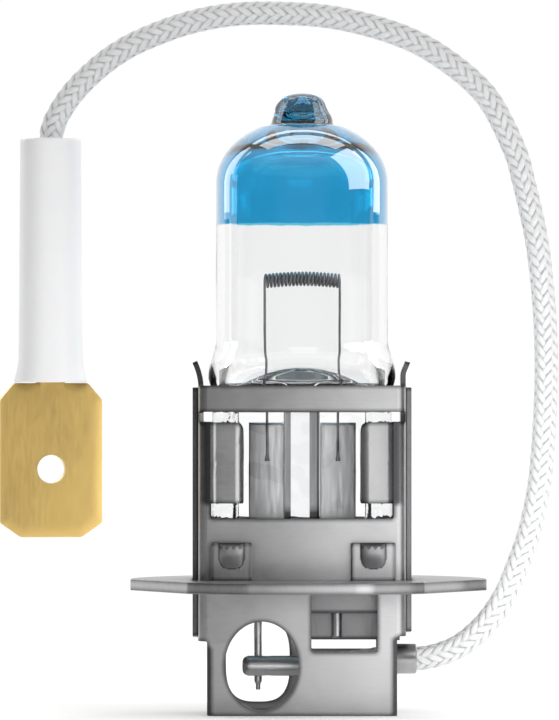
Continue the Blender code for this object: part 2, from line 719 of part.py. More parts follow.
def make_crimp_tube(finish):
    length = CRIMP_X[1] - CRIMP_X[0]
    rounding = 0.3 * MM
    end_wall = 0.35 * MM
    side = [(CRIMP_RADIUS, length), (CRIMP_RADIUS, rounding)]
    corner = [(CRIMP_RADIUS - rounding * 0.3, rounding * 0.3), (CRIMP_RADIUS - rounding, 0)]
    bore = [(0, 0), (0, end_wall), (CRIMP_BORE, end_wall), (CRIMP_BORE, length)]
    tube = turned("crimp_tube", side + corner + bore, finish)
    lay_along_x(tube, CRIMP_X[0], CRIMP_Z)


def make_ferrule(finish):
    length = FERRULE_X[1] - FERRULE_X[0]
    rounding = 0.06 * MM
    profile = [
        (FERRULE_RADIUS - rounding, length), (FERRULE_RADIUS, length - rounding),
        (FERRULE_RADIUS, 0), (FERRULE_BORE, 0), (FERRULE_BORE, length),
    ]
    lay_along_x(turned("exit_ferrule", profile, finish), FERRULE_X[0], EXIT_Z)


# Fly lead.


def smooth_route():
    """The fly lead's route as a dense Catmull-Rom curve, a list of vectors."""
    route = [Vector((x, 0, z)) * MM for x, z in LEAD_ROUTE]
    route = [route[0] * 2 - route[1]] + route + [route[-1] * 2 - route[-2]]
    dense = []
    for before, start, end, after in zip(route, route[1:], route[2:], route[3:]):
        for step in range(12):
            t = step / 12
            dense.append(0.5 * (
                2 * start + (end - before) * t
                + (2 * before - 5 * start + 4 * end - after) * t * t
                + (3 * start - before - 3 * end + after) * t ** 3
            ))
    return dense + [route[-2]]


def stations():
    """Points at even steps along the route, which every layer of the lead shares."""
    dense = smooth_route()
    picked = [dense[0]]
    walked = 0.0
    for start, end in zip(dense, dense[1:]):
        walked += (end - start).length
        if walked >= LEAD_STATION:
            picked.append(end)
            walked = 0.0
    if (dense[-1] - picked[-1]).length > LEAD_STATION / 3:
        picked.append(dense[-1])
    return picked


def layer_route(start_x, end_z):
    """The stretch of the lead between an x inside the cap and a z inside the terminal."""
    route = stations()
    first = next(i for i, place in enumerate(route) if place.x > start_x)
    last = max(i for i, place in enumerate(route) if place.z > end_z)
    before, after = route[first - 1], route[first]
    start = before.lerp(after, (start_x - before.x) / (after.x - before.x))
    before, after = route[last], route[last + 1]
    end = before.lerp(after, (end_z - before.z) / (after.z - before.z))
    return [start, *route[first:last + 1], end]


def make_layer(name, diameter, wall, span, finish):
    """A hollow layer of the lead, its wall inside the given diameter."""
    layer = to_mesh_object(wire(name, layer_route(*span), diameter, finish, capped=False), finish)
    layer.data.shade_smooth()
    solid = layer.modifiers.new("wall", "SOLIDIFY")
    solid.thickness = wall
    solid.offset = -1
    solid.use_even_offset = True


def make_fly_lead(core_finish, insulation_finish, braid_finish):
    wire("conductor", stations(), CONDUCTOR_DIAMETER, core_finish)
    make_layer(
        "wire_insulation", INSULATION_DIAMETER, INSULATION_WALL, INSULATION_SPAN, insulation_finish
    )
    make_layer("wire_braid", BRAID_DIAMETER, BRAID_WALL, BRAID_SPAN, braid_finish)


def make_sleeve(finish):
    low, high = SLEEVE_Z
    top_radius, low_radius, mouth_radius = SLEEVE_RADII
    profile = [
        (top_radius - 0.15 * MM, high), (top_radius, high - 0.15 * MM), (low_radius, low + 1.3 * MM),
        (mouth_radius - 0.08 * MM, low + 0.3 * MM), (mouth_radius, low),
        (SLEEVE_BORE + 0.2 * MM, low), (SLEEVE_BORE, low + 0.6 * MM),
        (SLEEVE_BORE, high - 2.2 * MM), (SLEEVE_MOUTH_BORE, high - 1.4 * MM),
        (SLEEVE_MOUTH_BORE, high),
    ]
    sleeve = turned("terminal_sleeve", profile, finish)
    sleeve.location.x = TERMINAL_X


def blade_outline():
    half = BLADE_WIDTH / 2
    low, high = BLADE_Z
    return [
        (-1.88 * MM, low), (1.88 * MM, low), (half, low + 0.88 * MM), (half, high - 1.03 * MM),
        (2.28 * MM, high), (-2.28 * MM, high), (-half, high - 1.03 * MM), (-half, low + 0.88 * MM),
    ]


def make_terminal(finish):
    """The stamped blade, its neck and its two crimp barrels, all made about Z and then moved."""
    y_span = (-BLADE_THICKNESS / 2, BLADE_THICKNESS / 2)
    blade = facing_prism("blade_terminal", [blade_outline()], y_span, finish)
    half = 0.8 * MM
    neck_y = BLADE_THICKNESS / 2 - 0.08 * MM
    neck_top = CORE_BARREL_Z[0] + 0.4 * MM
    link_low = (-half / 2, CORE_BARREL_BORE + 0.12 * MM, CORE_BARREL_Z[1] - 0.5 * MM)
    link_high = (half / 2, GRIP_BARREL_RADIUS - 0.06 * MM, GRIP_BARREL_Z[0] + 0.5 * MM)
    core_ends = [(0, 0, z) for z in CORE_BARREL_Z]
    grip_ends = [(0, 0, z) for z in GRIP_BARREL_Z]
    pieces = [
        box("neck", (-half, -neck_y, BLADE_Z[1] - 0.5 * MM), (half, neck_y, neck_top)),
        rod("core_barrel", *core_ends, 2 * CORE_BARREL_RADIUS, 16),
        box("barrel_link", link_low, link_high),
        rod("grip_barrel", *grip_ends, 2 * GRIP_BARREL_RADIUS, 16),
    ]
    join(blade, *pieces)
    hole_ends = ((0, -2 * MM, BLADE_HOLE_Z), (0, 2 * MM, BLADE_HOLE_Z))
    top = (0, 0, GRIP_BARREL_Z[1] + 1 * MM)
    tools = [
        rod("blade_hole", *hole_ends, BLADE_HOLE_DIAMETER, 24),
        rod("core_bore", (0, 0, CORE_BARREL_Z[0] + 0.5 * MM), top, 2 * CORE_BARREL_BORE, 16),
        rod("grip_bore", (0, 0, CORE_BARREL_Z[1] + 0.1 * MM), top, 2 * GRIP_BARREL_BORE, 16),
    ]
    cut(blade, *tools)
    for item in [blade, *pieces, *tools]:
        item.matrix_world = (
            Matrix.Translation((TERMINAL_X, 0, 0)) @ Matrix.Rotation(BLADE_TURN, 4, "Z")
            @ item.matrix_world
        )


def build():
    clear_scene()
    quartz = new_material("quartz", (0.9, 0.95, 1.0), 0.02, transmission=1.0)
    tungsten = new_material("tungsten", (0.18, 0.18, 0.19), 0.4, 1.0)
    molybdenum = new_material("molybdenum", (0.5, 0.5, 0.52), 0.35, 1.0)
    steel = new_material("stainless_steel", (0.6, 0.6, 0.62), 0.32, 1.0)
    copper = new_material("tinned_copper", (0.75, 0.6, 0.5), 0.4, 1.0)
    plastic = new_material("insulation", (0.85, 0.85, 0.83), 0.6)
    glass_fibre = new_material("glass_fibre_braid", (0.93, 0.93, 0.92), 0.8)
    white = new_material("white_sleeve", (0.94, 0.94, 0.94), 0.45)
    brass = new_material("brass", (0.8, 0.62, 0.32), 0.35, 1.0)
    make_envelope(quartz)
    make_filament(tungsten)
    make_foils(molybdenum)
    make_outer_leads(molybdenum)
    make_front_shell(steel)
    make_back_shell(steel)
    make_flange(steel)
    make_earth_bracket(steel)
    make_crimp_tube(steel)
    make_ferrule(steel)
    make_fly_lead(copper, plastic, glass_fibre)
    make_sleeve(white)
    make_terminal(brass)


build()
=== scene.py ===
import math

import bmesh
import bpy
from mathutils import Matrix, Vector, noise


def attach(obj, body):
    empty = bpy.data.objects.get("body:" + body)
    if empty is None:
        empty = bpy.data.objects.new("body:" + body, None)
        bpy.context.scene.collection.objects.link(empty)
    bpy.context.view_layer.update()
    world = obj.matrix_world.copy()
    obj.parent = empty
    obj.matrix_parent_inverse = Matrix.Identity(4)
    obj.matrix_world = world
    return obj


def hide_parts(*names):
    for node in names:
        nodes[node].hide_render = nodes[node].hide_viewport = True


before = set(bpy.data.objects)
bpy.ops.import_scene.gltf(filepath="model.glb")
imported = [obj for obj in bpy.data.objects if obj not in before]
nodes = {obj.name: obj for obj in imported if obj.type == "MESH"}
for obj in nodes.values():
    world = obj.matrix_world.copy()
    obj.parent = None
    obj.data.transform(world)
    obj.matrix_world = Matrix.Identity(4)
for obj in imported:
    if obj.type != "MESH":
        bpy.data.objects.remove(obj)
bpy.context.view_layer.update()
scene = bpy.context.scene

MM = 0.001
SHEET = 0.3
CAMERA_AT = (-1.38, -500.0, 21.75)
LENS = 406.3
SENSOR = 36.0

# The fly lead's route in the plane y = 0, as (x, z) in millimetres.
LEAD_ROUTE = (
    (-3.2, 2.94), (-1.0, 2.94), (1.2, 2.94), (3.0, 3.12), (4.8, 3.37), (7.05, 3.37),
    (8.55, 3.66), (9.91, 4.3), (11.32, 5.56), (12.43, 7.16), (13.17, 8.83), (14.03, 11.3),
    (14.65, 14.4), (14.94, 18.12), (15.03, 21.75), (14.87, 25.44), (14.44, 29.13),
    (13.64, 32.73), (12.98, 34.92), (11.26, 38.09), (8.49, 40.46), (5.66, 41.87),
    (2.03, 42.81), (-1.48, 43.08), (-4.55, 42.97), (-7.61, 42.3), (-11.02, 40.83),
    (-13.66, 38.67), (-15.2, 36.4), (-15.46, 34.6), (-15.46, 32.4), (-15.46, 29.0),
    (-15.46, 25.6), (-15.46, 22.6),
)
BRAID_START_X = 2.4
BRAID_END_Z = 27.1
BRAID_STEP = 0.14
CORE_RADIUS = 0.56
CARRIERS = 8
BINORMAL = Vector((0, 1, 0))
LEAD_EXIT = (7.05, 0.0, 3.37)
TERMINAL_X = -15.46
BLADE_TURN = 9

# Quartz envelope, in millimetres.
BULB_RADIUS = 5.3
CAVITY_RADIUS = 4.3
STRAIGHT_TOP_Z = 32.46
DOME_HEIGHT = 4.1
TIP_BASE_Z = 36.1
PINCH_BOTTOM_Z = 8.8
SHOULDER_TOP_Z = 22.9
COATING_EDGE_Z = 30.1
TIP_RADIUS = 1.95
CAVITY_STRAIGHT_Z = 23.6
PINCH_HALF_WIDTH = 5.5
PINCH_HALF_DEPTH = 1.7
PINCH_SQUARENESS = 8
FOOT_ROUNDING = 0.3
SECTION_POINTS = 300
LEG_Y = -0.15

# Cap and flange, in millimetres.
CRIMP_Z = 2.94
WINDOW_TOP_Z = 17.93
SQUARE_OPENING = ((0.57, 3.88), (4.6, 3.88), (4.6, 7.45), (0.57, 7.45))
FLANGE_RADIUS = 10.955
FLANGE_THICKNESS = 0.7

# Material slots of the envelope, after its coated face, and of the flange, after its plate.
CLEAR, RIDGE, RIM, WEB = 1, 2, 3, 4
# The flange's two extra slots paint shade: a near-black steel for the shadow in the scoops' lanced
# openings, and a darker steel over the scoops.
CUT_SHADOW, SCOOP_SHADE = 1, 2

# What every quartz has in common, and the colour sockets of the Mix node.
QUARTZ = {"Transmission_Weight": 1.0, "IOR": 1.458}
MIX_SHARE, MIX_FIRST, MIX_SECOND, MIX_RESULT = 0, 6, 7, 2


# The view that the object is shown from.


def make_camera():
    data = bpy.data.cameras.new("camera")
    data.lens = LENS
    data.sensor_width = SENSOR
    data.clip_start = 0.01
    data.clip_end = 20
    camera = bpy.data.objects.new("camera", data)
    camera.location = Vector(CAMERA_AT) * MM
    camera.rotation_euler = (math.pi / 2, 0, 0)
    scene.collection.objects.link(camera)
    scene.camera = camera


# Node helpers.


class Nodes:
    """Adds nodes to a tree and fills their inputs from sockets or plain values."""

    def __init__(self, tree, place):
        self.tree = tree
        self.place = self.new("TexCoord").outputs[place]

    def fill(self, target, value):
        if isinstance(value, bpy.types.NodeSocket):
            self.tree.links.new(value, target)
        else:
            target.default_value = value

    def new(self, kind, **values):
        made = self.tree.nodes.new("ShaderNode" + kind)
        for name, value in values.items():
            self.fill(made.inputs[name.replace("_", " ")], value)
        return made

    def maths(self, operation, *values):
        made = self.new("Math")
        made.operation = operation
        for socket, value in zip(made.inputs, values):
            self.fill(socket, value)
        return made.outputs["Value"]

    def spread(self, value, low=0.0, high=1.0, source=(0.3, 0.7), ease="LINEAR"):
        """Carries the source span over to low and high, and holds it there."""
        span = {"From_Min": source[0], "From_Max": source[1], "To_Min": low, "To_Max": high}
        made = self.new("MapRange", Value=value, **span)
        made.interpolation_type = ease
        return made.outputs["Result"]

    def axis(self, name):
        return self.new("SeparateXYZ", Vector=self.place).outputs[name]


class Surface(Nodes):
    """A material's nodes, built up around its Principled shader."""

    def __init__(self, name, **values):
        self.material = bpy.data.materials.new(name)
        self.material.use_nodes = True
        super().__init__(self.material.node_tree, "Object")
        self.shader = self.tree.nodes["Principled BSDF"]
        self.set(**values)

    def set(self, **values):
        for name, value in values.items():
            self.fill(self.shader.inputs[name.replace("_", " ")], value)

    def noise(self, scale, detail=3.0, roughness=0.5, distortion=0.0):
        """Noise with the given number of cells to a metre, the same or its own along each axis."""
        if isinstance(scale, (int, float)):
            scale = (scale, scale, scale)
        placed = self.new("Mapping", Vector=self.place, Scale=scale).outputs["Vector"]
        grain = {"Detail": detail, "Roughness": roughness, "Distortion": distortion}
        return self.new("TexNoise", Vector=placed, Scale=1.0, **grain).outputs["Fac"]

    def blend(self, share, first, second, mode="MIX"):
        """Mixes two colours. Each is a socket, three channels, or one number for a grey."""
        made = self.new("Mix")
        made.data_type = "RGBA"
        made.blend_type = mode
        self.fill(made.inputs[MIX_SHARE], share)
        for slot, value in ((MIX_FIRST, first), (MIX_SECOND, second)):
            if isinstance(value, float):
                value = (value, value, value)
            self.fill(made.inputs[slot], (*value, 1) if isinstance(value, tuple) else value)
        return made.outputs[MIX_RESULT]

    def hidden(self, reach, inside=False):
        """0 in the open, towards 1 in corners or, measured inside a sheet, along its edges."""
        made = self.new("AmbientOcclusion", Distance=reach)
        made.samples = 6
        made.inside = made.only_local = inside
        return self.spread(made.outputs["AO"], 1.0, 0.0, (0.5 if inside else 0.3, 1.0))

    def attribute(self, name):
        made = self.new("Attribute")
        made.attribute_name = name
        return made.outputs["Fac"]

    def bump(self, height, distance, strength):
        made = self.new("Bump", Height=height, Distance=distance, Strength=strength)
        self.set(Normal=made.outputs["Normal"])


def steel(name, grey=0.43, dull=0.0, grain=(900, 900, 9000), shaded_edges=True):
    """Satin stainless sheet, with fine rolling lines, faint cloudy handling marks and, optionally,
    painted shade in its corners and along its edges.
    """
    made = Surface(name, Metallic=1.0, Anisotropic=0.25)
    lines = made.noise(grain, 5.0, 0.6)
    clouds = made.noise(330, 4.0, 0.55, 0.4)
    specks = made.noise(5200, 2.0)
    dark, light = ((grey * k, grey * k, (grey + 0.005) * k) for k in (0.90, 1.06))
    tone = made.blend(made.spread(clouds), dark, light)
    streak = made.blend(made.spread(lines), 0.93, 1.0)
    tone = made.blend(1.0, tone, streak, "MULTIPLY")
    if shaded_edges:
        # Painted shade: darker where other parts crowd the corners, and a near-black line along
        # each sheet edge in place of the dark rounded bends.
        corners = made.maths("MULTIPLY", made.hidden(0.0016), 0.5)
        tone = made.blend(corners, tone, (0.16, 0.16, 0.165))
        tone = made.blend(made.hidden(0.00029, inside=True), tone, (0.06, 0.06, 0.063))
    fine, broad = made.spread(lines, 0.30 + dull, 0.40 + dull), made.spread(clouds, -0.015, 0.025)
    made.set(Base_Color=tone, Roughness=made.maths("ADD", fine, broad))
    lines, specks = made.maths("MULTIPLY", lines, 0.7), made.maths("MULTIPLY", specks, 0.3)
    made.bump(made.maths("ADD", lines, specks), 0.000012, 0.5)
    return made.material


def quartz(name, coated):
    """Fused quartz. The coated face is blue above the coating's lower edge."""
    made = Surface(name, Roughness=0.0, **QUARTZ)
    clear = (0.95, 0.953, 0.952)
    if not coated:
        made.set(Base_Color=(*clear, 1))
        made.bump(made.noise((260, 260, 120), 2.0), 0.00006, 0.35)
        return made.material
    height = made.axis("Z")
    edge, blur = COATING_EDGE_Z * MM, 0.00003
    ragged = made.maths("MULTIPLY", made.spread(made.noise(900, 2.0), -1.0, 1.0), blur)
    above = made.maths("ADD", height, ragged)
    above = made.spread(above, 0.0, 1.0, (edge - blur, edge + blur))
    bands = made.spread(made.noise((120, 120, 420), 2.0))
    blue = made.blend(bands, (0.008, 0.330, 0.650), (0.013, 0.365, 0.700))
    # Darker blue at the top of the dome, above 36 mm.
    darker_at_tip = made.spread(height, 0.0, 1.0, (0.0360, 0.0366))
    blue = made.blend(darker_at_tip, blue, (0.018, 0.078, 0.135))
    mirror = made.maths("MULTIPLY", above, made.spread(height, 1.0, 0.15, (0.0358, 0.0366)))
    made.set(Base_Color=made.blend(above, clear, blue))
    made.set(Coat_IOR=1.9, Coat_Roughness=0.0, Coat_Weight=mirror)
    made.bump(made.noise((300, 300, 140), 2.0), 0.00006, 0.35)
    return made.material


def pressed_quartz(name):
    """The frosted flanks of the ridge that the pinching jaws leave between the foils, tinted dark
    as painted shade and painted near black at the ridge's lower end.
    """
    made = Surface(name, Roughness=0.22, **QUARTZ)
    streaks = made.noise((2600, 2600, 260))
    # Painted shade: the clear quartz gets a dark tint for the darker look of the flanks, and below
    # about 12.4 mm it is painted near black where the ridge slopes away.
    tone = made.blend(made.spread(streaks), (0.06, 0.06, 0.063), (0.13, 0.13, 0.134))
    foot = made.spread(made.axis("Z"), 1.0, 0.0, (0.0124, 0.0129))
    made.set(Base_Color=made.blend(foot, tone, 0.004))
    made.bump(streaks, 0.00003, 0.4)
    return made.material


def grained(name, grain, dark, light, relief, rough=None, **values):
    """One grain that mixes two tones, raises a fine relief and may vary the roughness."""
    made = Surface(name, **values)
    lines = made.noise(*grain)
    made.set(Base_Color=made.blend(made.spread(lines), dark, light))
    if rough:
        made.set(Roughness=made.spread(lines, *rough))
    made.bump(lines, *relief)
    return made.material


def molybdenum(name):
    """Rolled foil and drawn wire, with painted shade making a foil greyer towards its outer edge.
    """
    made = Surface(name, Metallic=1.0)
    rolled = made.noise((5200, 700, 500), 4.0)
    blotch = made.spread(made.noise(450))
    tone = made.blend(blotch, (0.67, 0.68, 0.69), (0.73, 0.73, 0.74))
    tone = made.blend(made.spread(rolled, 0, 0.35), tone, (0.52, 0.52, 0.53))
    # Painted shade: the foil gets darker towards its outer edge.
    edge_shade = made.spread(made.attribute("across"), 1.0, 0.0, (-1.0, 0.7))
    edge_shade = made.maths("MULTIPLY", edge_shade, 0.85)
    tone = made.blend(edge_shade, tone, (0.14, 0.14, 0.147))
    made.set(Base_Color=tone, Roughness=made.spread(rolled, 0.28, 0.46))
    made.bump(rolled, 0.00001, 0.5)
    return made.material


def glass_fibre(name):
    """Woven glass yarn: fine filaments along each yarn, with painted shade in the gaps between
    yarns.
    """
    made = Surface(name, Sheen_Weight=0.25, Sheen_Roughness=0.5, Specular_IOR_Level=0.35)
    strands = made.maths("SINE", made.maths("MULTIPLY", made.attribute("across"), 44.0))
    fuzz = made.noise(7000, 3.0, 0.6)
    tone = made.blend(made.spread(fuzz), (0.89, 0.895, 0.90), 0.98)
    # Painted shade: darker where a yarn lies low or curves away at its sides.
    gap_shade = made.spread(made.attribute("depth"), 1.0, 0.0, (0.1, 0.75))
    tone = made.blend(gap_shade, tone, (0.44, 0.45, 0.47))
    made.set(Base_Color=tone, Roughness=made.spread(fuzz, 0.6, 0.8))
    made.bump(made.maths("ADD", made.maths("MULTIPLY", strands, 0.35), fuzz), 0.00003, 0.6)
    return made.material


def soft_plastic(name, light, dark, rough):
    """A moulded plastic, slightly uneven in tone and skin."""
    made = Surface(name, Subsurface_Weight=0.12, Subsurface_Scale=0.0006)
    skin = made.noise(1400)
    drift = made.spread(made.noise((180, 180, 70), 2.0))
    gloss = made.spread(skin, rough - 0.06, rough + 0.08)
    made.set(Base_Color=made.blend(drift, dark, light), Roughness=gloss)
    made.bump(skin, 0.00001, 0.35)
    return made.material


def brass(name):
    """Rolled brass strip, lightly tarnished, with painted shade where it enters the sleeve."""
    made = Surface(name, Metallic=1.0)
    lines = made.noise((7000, 7000, 900))
    tarnish = made.noise(240, 2.0)
    tone = made.blend(made.spread(tarnish), (0.84, 0.59, 0.205), (0.80, 0.56, 0.19))
    tone = made.blend(made.spread(lines, 0, 0.2), tone, (0.88, 0.64, 0.25))
    # Painted shade: near-black brown where the sleeve overhangs the blade.
    tone = made.blend(made.hidden(0.0007), tone, (0.10, 0.065, 0.02))
    fine, broad = made.spread(lines, 0.34, 0.40), made.spread(tarnish, -0.02, 0.04)
    made.set(Base_Color=tone, Roughness=made.maths("ADD", fine, broad))
    made.bump(lines, 0.000006, 0.4)
    return made.material


# Mesh helpers. Shapes are given in millimetres.


def finished(name, bm, *materials):
    bm.transform(Matrix.Scale(MM, 4))
    mesh = bpy.data.meshes.new(name)
    bm.to_mesh(mesh)
    bm.free()
    made = bpy.data.objects.new(name, mesh)
    scene.collection.objects.link(made)
    for material in materials:
        mesh.materials.append(material)
    mesh.shade_smooth()
    return made


def piece(name, slot, replaced, bm, *materials, outward=True):
    """Makes the mesh a visible piece that stands for a CAD node."""
    if outward:
        bmesh.ops.recalc_face_normals(bm, faces=bm.faces)
    made = finished(name, bm, *materials)
    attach(made, "root")
    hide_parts(replaced)
    return made


def crisp_shading(made, turn=0.0):
    """Shades the flats flat and lets bends and rounded edges run into them.

    The flats are the faces square to the axes, turned about Z.
    """
    bm = bmesh.new()
    bm.from_mesh(made.data)
    back = Matrix.Rotation(math.radians(-turn), 3, "Z")
    nearest = math.cos(math.radians(52))
    areas = {face: face.calc_area() for face in bm.faces}
    flats = {face for face in bm.faces if max(map(abs, back @ face.normal)) > 0.9998}
    normals = []
    for face in bm.faces:
        for corner in face.loops:
            if face in flats:
                normals.append(face.normal.copy())
                continue
            around = corner.vert.link_faces
            around = [other for other in around if other.normal.dot(face.normal) > nearest]
            level = [other for other in around if other in flats]
            total = Vector()
            for other in level or around:
                total += other.normal * areas[other]
            normals.append(total.normalized() if total.length > 0 else face.normal.copy())
    bm.free()
    made.data.normals_split_custom_set(normals)


def add_bevel(made, width, angle):
    bevel = made.modifiers.new("edges", "BEVEL")
    bevel.width = width
    bevel.segments = 3
    bevel.limit_method = "ANGLE"
    bevel.angle_limit = math.radians(angle)


def soften(made):
    """Rounds the sharp edges of a CAD piece, and shades its flats flat."""
    made.modifiers.new("weld", "WELD").merge_threshold = 1e-6
    add_bevel(made, 0.05 * MM, 30)
    shading = made.modifiers.new("shading", "WEIGHTED_NORMAL")
    shading.keep_sharp = False
    shading.weight = 80


def smoothstep(value, low, high):
    t = min(max((value - low) / (high - low), 0), 1)
    return t * t * (3 - 2 * t)


def mixed(first, second, share):
    return first + (second - first) * share


def circle(count):
    """The cosine and the sine at even steps round a circle."""
    angles = [2 * math.pi * index / count for index in range(count)]
    return [(math.cos(angle), math.sin(angle)) for angle in angles]


def mirrored(right):
    """An outline from its right half."""
    return right + [(-u, v) for u, v in reversed(right)]


def joined(bm, rings, closed=False):
    """Walls between rings of vertices, each ring joined to the next. A ring may be one vertex."""
    faces = []
    pairs = list(zip(rings, rings[1:]))
    if closed:
        pairs.append((rings[-1], rings[0]))
    for lower, upper in pairs:
        count = max(len(lower), len(upper))
        for i in range(count):
            j = (i + 1) % count
            near = lower[i % len(lower)], lower[j % len(lower)]
            far = upper[j % len(upper)], upper[i % len(upper)]
            faces.append(bm.faces.new(list(dict.fromkeys(near + far))))
    return faces


def band(bm, loops, closed=False):
    """Walls between loops of points."""
    return joined(bm, [[bm.verts.new(place) for place in loop] for loop in loops], closed)


def lathe(bm, profile, sides, place=Matrix.Identity(4), closed=True, wobble=None):
    """Turns a profile of (radius, z) points about Z. A closed profile makes a hollow ring."""
    loops = []
    for radius, z in profile:
        loop = []
        for c, s in circle(sides) if radius > 1e-6 else [(0, 0)]:
            reach = radius + (wobble(c, s, z) if wobble else 0)
            loop.append(place @ Vector((reach * c, reach * s, z)))
        loops.append(loop)
    band(bm, loops, closed)


def tangents(points):
    """The direction of a line of points at each of them."""
    befores, afters = points[:1] + points, points[1:] + points[-1:]
    return [(after - before).normalized() for before, after in zip(befores, afters)]


def tube_along(bm, points, radii, sides):
    """A capped round tube through points that follow a curve."""
    directions = tangents(points)
    side = directions[0].orthogonal().normalized()
    rings = []
    for point, tangent, radius in zip(points, directions, radii):
        side = (side - tangent * side.dot(tangent)).normalized()
        other = tangent.cross(side)
        spots = [point + (side * c + other * s) * radius for c, s in circle(sides)]
        rings.append([bm.verts.new(spot) for spot in spots])
    capped(bm, rings)


def capped(bm, rings):
    """Walls between the rings and a flat face over each end."""
    joined(bm, rings)
    bm.faces.new(rings[0][::-1])
    bm.faces.new(rings[-1])


def catmull_rom(route, steps):
    """A smooth line through the route's points."""
    route = [Vector(point) for point in route]
    route = [route[0] * 2 - route[1]] + route + [route[-1] * 2 - route[-2]]
    dense = []
    for before, start, end, after in zip(route, route[1:], route[2:], route[3:]):
        for step in range(steps):
            t = step / steps
            dense.append(0.5 * (
                2 * start + (end - before) * t
                + (2 * before - 5 * start + 4 * end - after) * t * t
                + (3 * start - before - 3 * end + after) * t ** 3
            ))
    return dense + [route[-2]]


def grid_of(bm, columns, rows, place):
    """Vertices at place(u, v), with u from -1 to 1 across and v from 0 to 1 along."""
    grid = []
    for row in range(rows + 1):
        across = [2 * column / columns - 1 for column in range(columns + 1)]
        grid.append([bm.verts.new(place(u, row / rows)) for u in across])
    return grid


def squares(grid):
    """The row, the column and the corners of each square in a grid of vertices."""
    for row, (low, high) in enumerate(zip(grid, grid[1:])):
        for column in range(len(low) - 1):
            yield row, column, (low[column], low[column + 1], high[column + 1], high[column])


# The fly lead.


def braid_line():
    """The braid's centre line, at even steps."""
    kept = []
    for place in catmull_rom([(x, 0, z) for x, z in LEAD_ROUTE], 24):
        inside_cap = place.z < 4 and place.x < BRAID_START_X
        in_terminal = place.x < -15 and place.z < BRAID_END_Z
        if not inside_cap and not in_terminal:
            kept.append(place)
    line = [kept[0]]
    walked = BRAID_STEP
    for start, end in zip(kept, kept[1:]):
        length = (end - start).length
        while walked <= length:
            line.append(start.lerp(end, walked / length))
            walked += BRAID_STEP
        walked -= length
    return line


def yarn_rings(bm, frames, layers, carrier, way):
    """One flat yarn's cross sections as it winds round the core, over two and under two."""
    across, depth = layers
    pitch, mid_radius, rise = 5.6, 0.645, 0.05
    half_width, half_thick = 0.235, 0.055
    section = ((-1, 0), (-0.62, 0.8), (0, 1), (0.62, 0.8), (1, 0), (0, -0.8))
    rings = []
    for index, (place, tangent, normal) in enumerate(frames):
        run = 2 * math.pi * index * BRAID_STEP / pitch
        phase = 2 * carrier + way * CARRIERS * run / math.pi - 0.5
        lift = way * rise * math.cos(math.pi / 2 * phase)
        loose = 0.012 * math.sin(carrier * 2.3 + index * 0.05 + way)
        angle = 2 * math.pi * carrier / CARRIERS + way * run + loose
        outward = normal * math.cos(angle) + BINORMAL * math.sin(angle)
        around = BINORMAL * math.cos(angle) - normal * math.sin(angle)
        along = (tangent + around * 2 * math.pi * mid_radius / pitch * way).normalized()
        sideways = along.cross(outward) * half_width
        ring = []
        for u, v in section:
            out = lift + v * half_thick
            radial = mid_radius + out - (u * half_width) ** 2 / (2 * mid_radius)
            spot = bm.verts.new(place + outward * radial + sideways * u)
            spot[across] = u
            # The depth drives the painted shade in the gaps between yarns.
            spot[depth] = 0.5 + out / (2 * (rise + half_thick)) - 0.35 * abs(u)
            ring.append(spot)
        rings.append(ring)
    return rings


def make_braid(material):
    """A core tube under sixteen flat yarns, eight each way."""
    line = braid_line()
    bm = bmesh.new()
    layers = [bm.verts.layers.float.new(name) for name in ("across", "depth")]
    frames = []
    for place, tangent in zip(line, tangents(line)):
        frames.append((place, tangent, BINORMAL.cross(tangent).normalized()))
    core = line[::3] + [line[-1]]
    tube_along(bm, core, [CORE_RADIUS] * len(core), 16)
    for way in (1, -1):
        for carrier in range(CARRIERS):
            capped(bm, yarn_rings(bm, frames, layers, carrier, way))
    return piece("braid", "glass_fibre", "wire_braid", bm, material), line


# Quartz envelope.


def pinch_depth(x, half_depth, half_width, rim):
    """How deep the pressed pinch is at x: full at its side rims, thinner over its web."""
    web = 1 - 1.22 / PINCH_HALF_DEPTH
    inside = smoothstep(half_width - abs(x), 1.15, 1.6)
    ridge = smoothstep(x, -1.07, -0.70) * (1 - smoothstep(x, 0.52, 1.06))
    return half_depth * (1 - rim * (inside * web - ridge * 0.17))


def glass_ring(z, half_width, half_depth, roundness=2.0, rim=0.0, rough=0.0):
    """The glass's section at a height: a circle, an oval or the pressed pinch."""
    ring = []
    for c, s in circle(SECTION_POINTS):
        x = half_width * c
        y = (1 - min(abs(c), 1) ** roundness) ** (1 / roundness)
        y *= pinch_depth(x, half_depth, half_width, rim)
        place = Vector((x, math.copysign(y if abs(s) > 1e-9 else 0, s), z))
        if rough:
            place.y *= 1 + rough * noise.noise(Vector((x * 0.9, s * 1.3 + 7, z * 0.55)))
        ring.append(place)
    return ring


def pinch_and_shoulder(z):
    """Half width, half depth, roundness and rim of the outer glass from the pinch to the bulb."""
    top = SHOULDER_TOP_Z
    flare = smoothstep(z, 19.6, 20.8) * (1 - smoothstep(z, 21.2, top))
    width = mixed(PINCH_HALF_WIDTH, BULB_RADIUS, smoothstep(z, 19.6, top)) + 0.32 * flare
    depth = mixed(PINCH_HALF_DEPTH, 2.95, smoothstep(z, 18.7, 20.0))
    depth = mixed(depth, BULB_RADIUS, smoothstep(z, 19.7, 22.3))
    roundness = mixed(PINCH_SQUARENESS, 2, smoothstep(z, 18.6, 20.1))
    return width, depth, roundness, 1 - smoothstep(z, 18.7, 20.0)


def tip_ring(z, radius):
    """The sealed exhaust tip, lumpy where the tube was melted off."""
    lumps = smoothstep(z, 36.2, 36.8)
    ring = []
    for c, s in circle(SECTION_POINTS):
        lump = noise.noise(Vector((c * 1.5 + 3, s * 1.5, z * 1.25)))
        fine = noise.noise(Vector((c * 4 + 1, s * 4, z * 3.1)))
        reach = radius * (1 + lumps * (0.10 * lump + 0.035 * fine))
        ring.append(Vector((reach * c, reach * s, z)))
    return ring


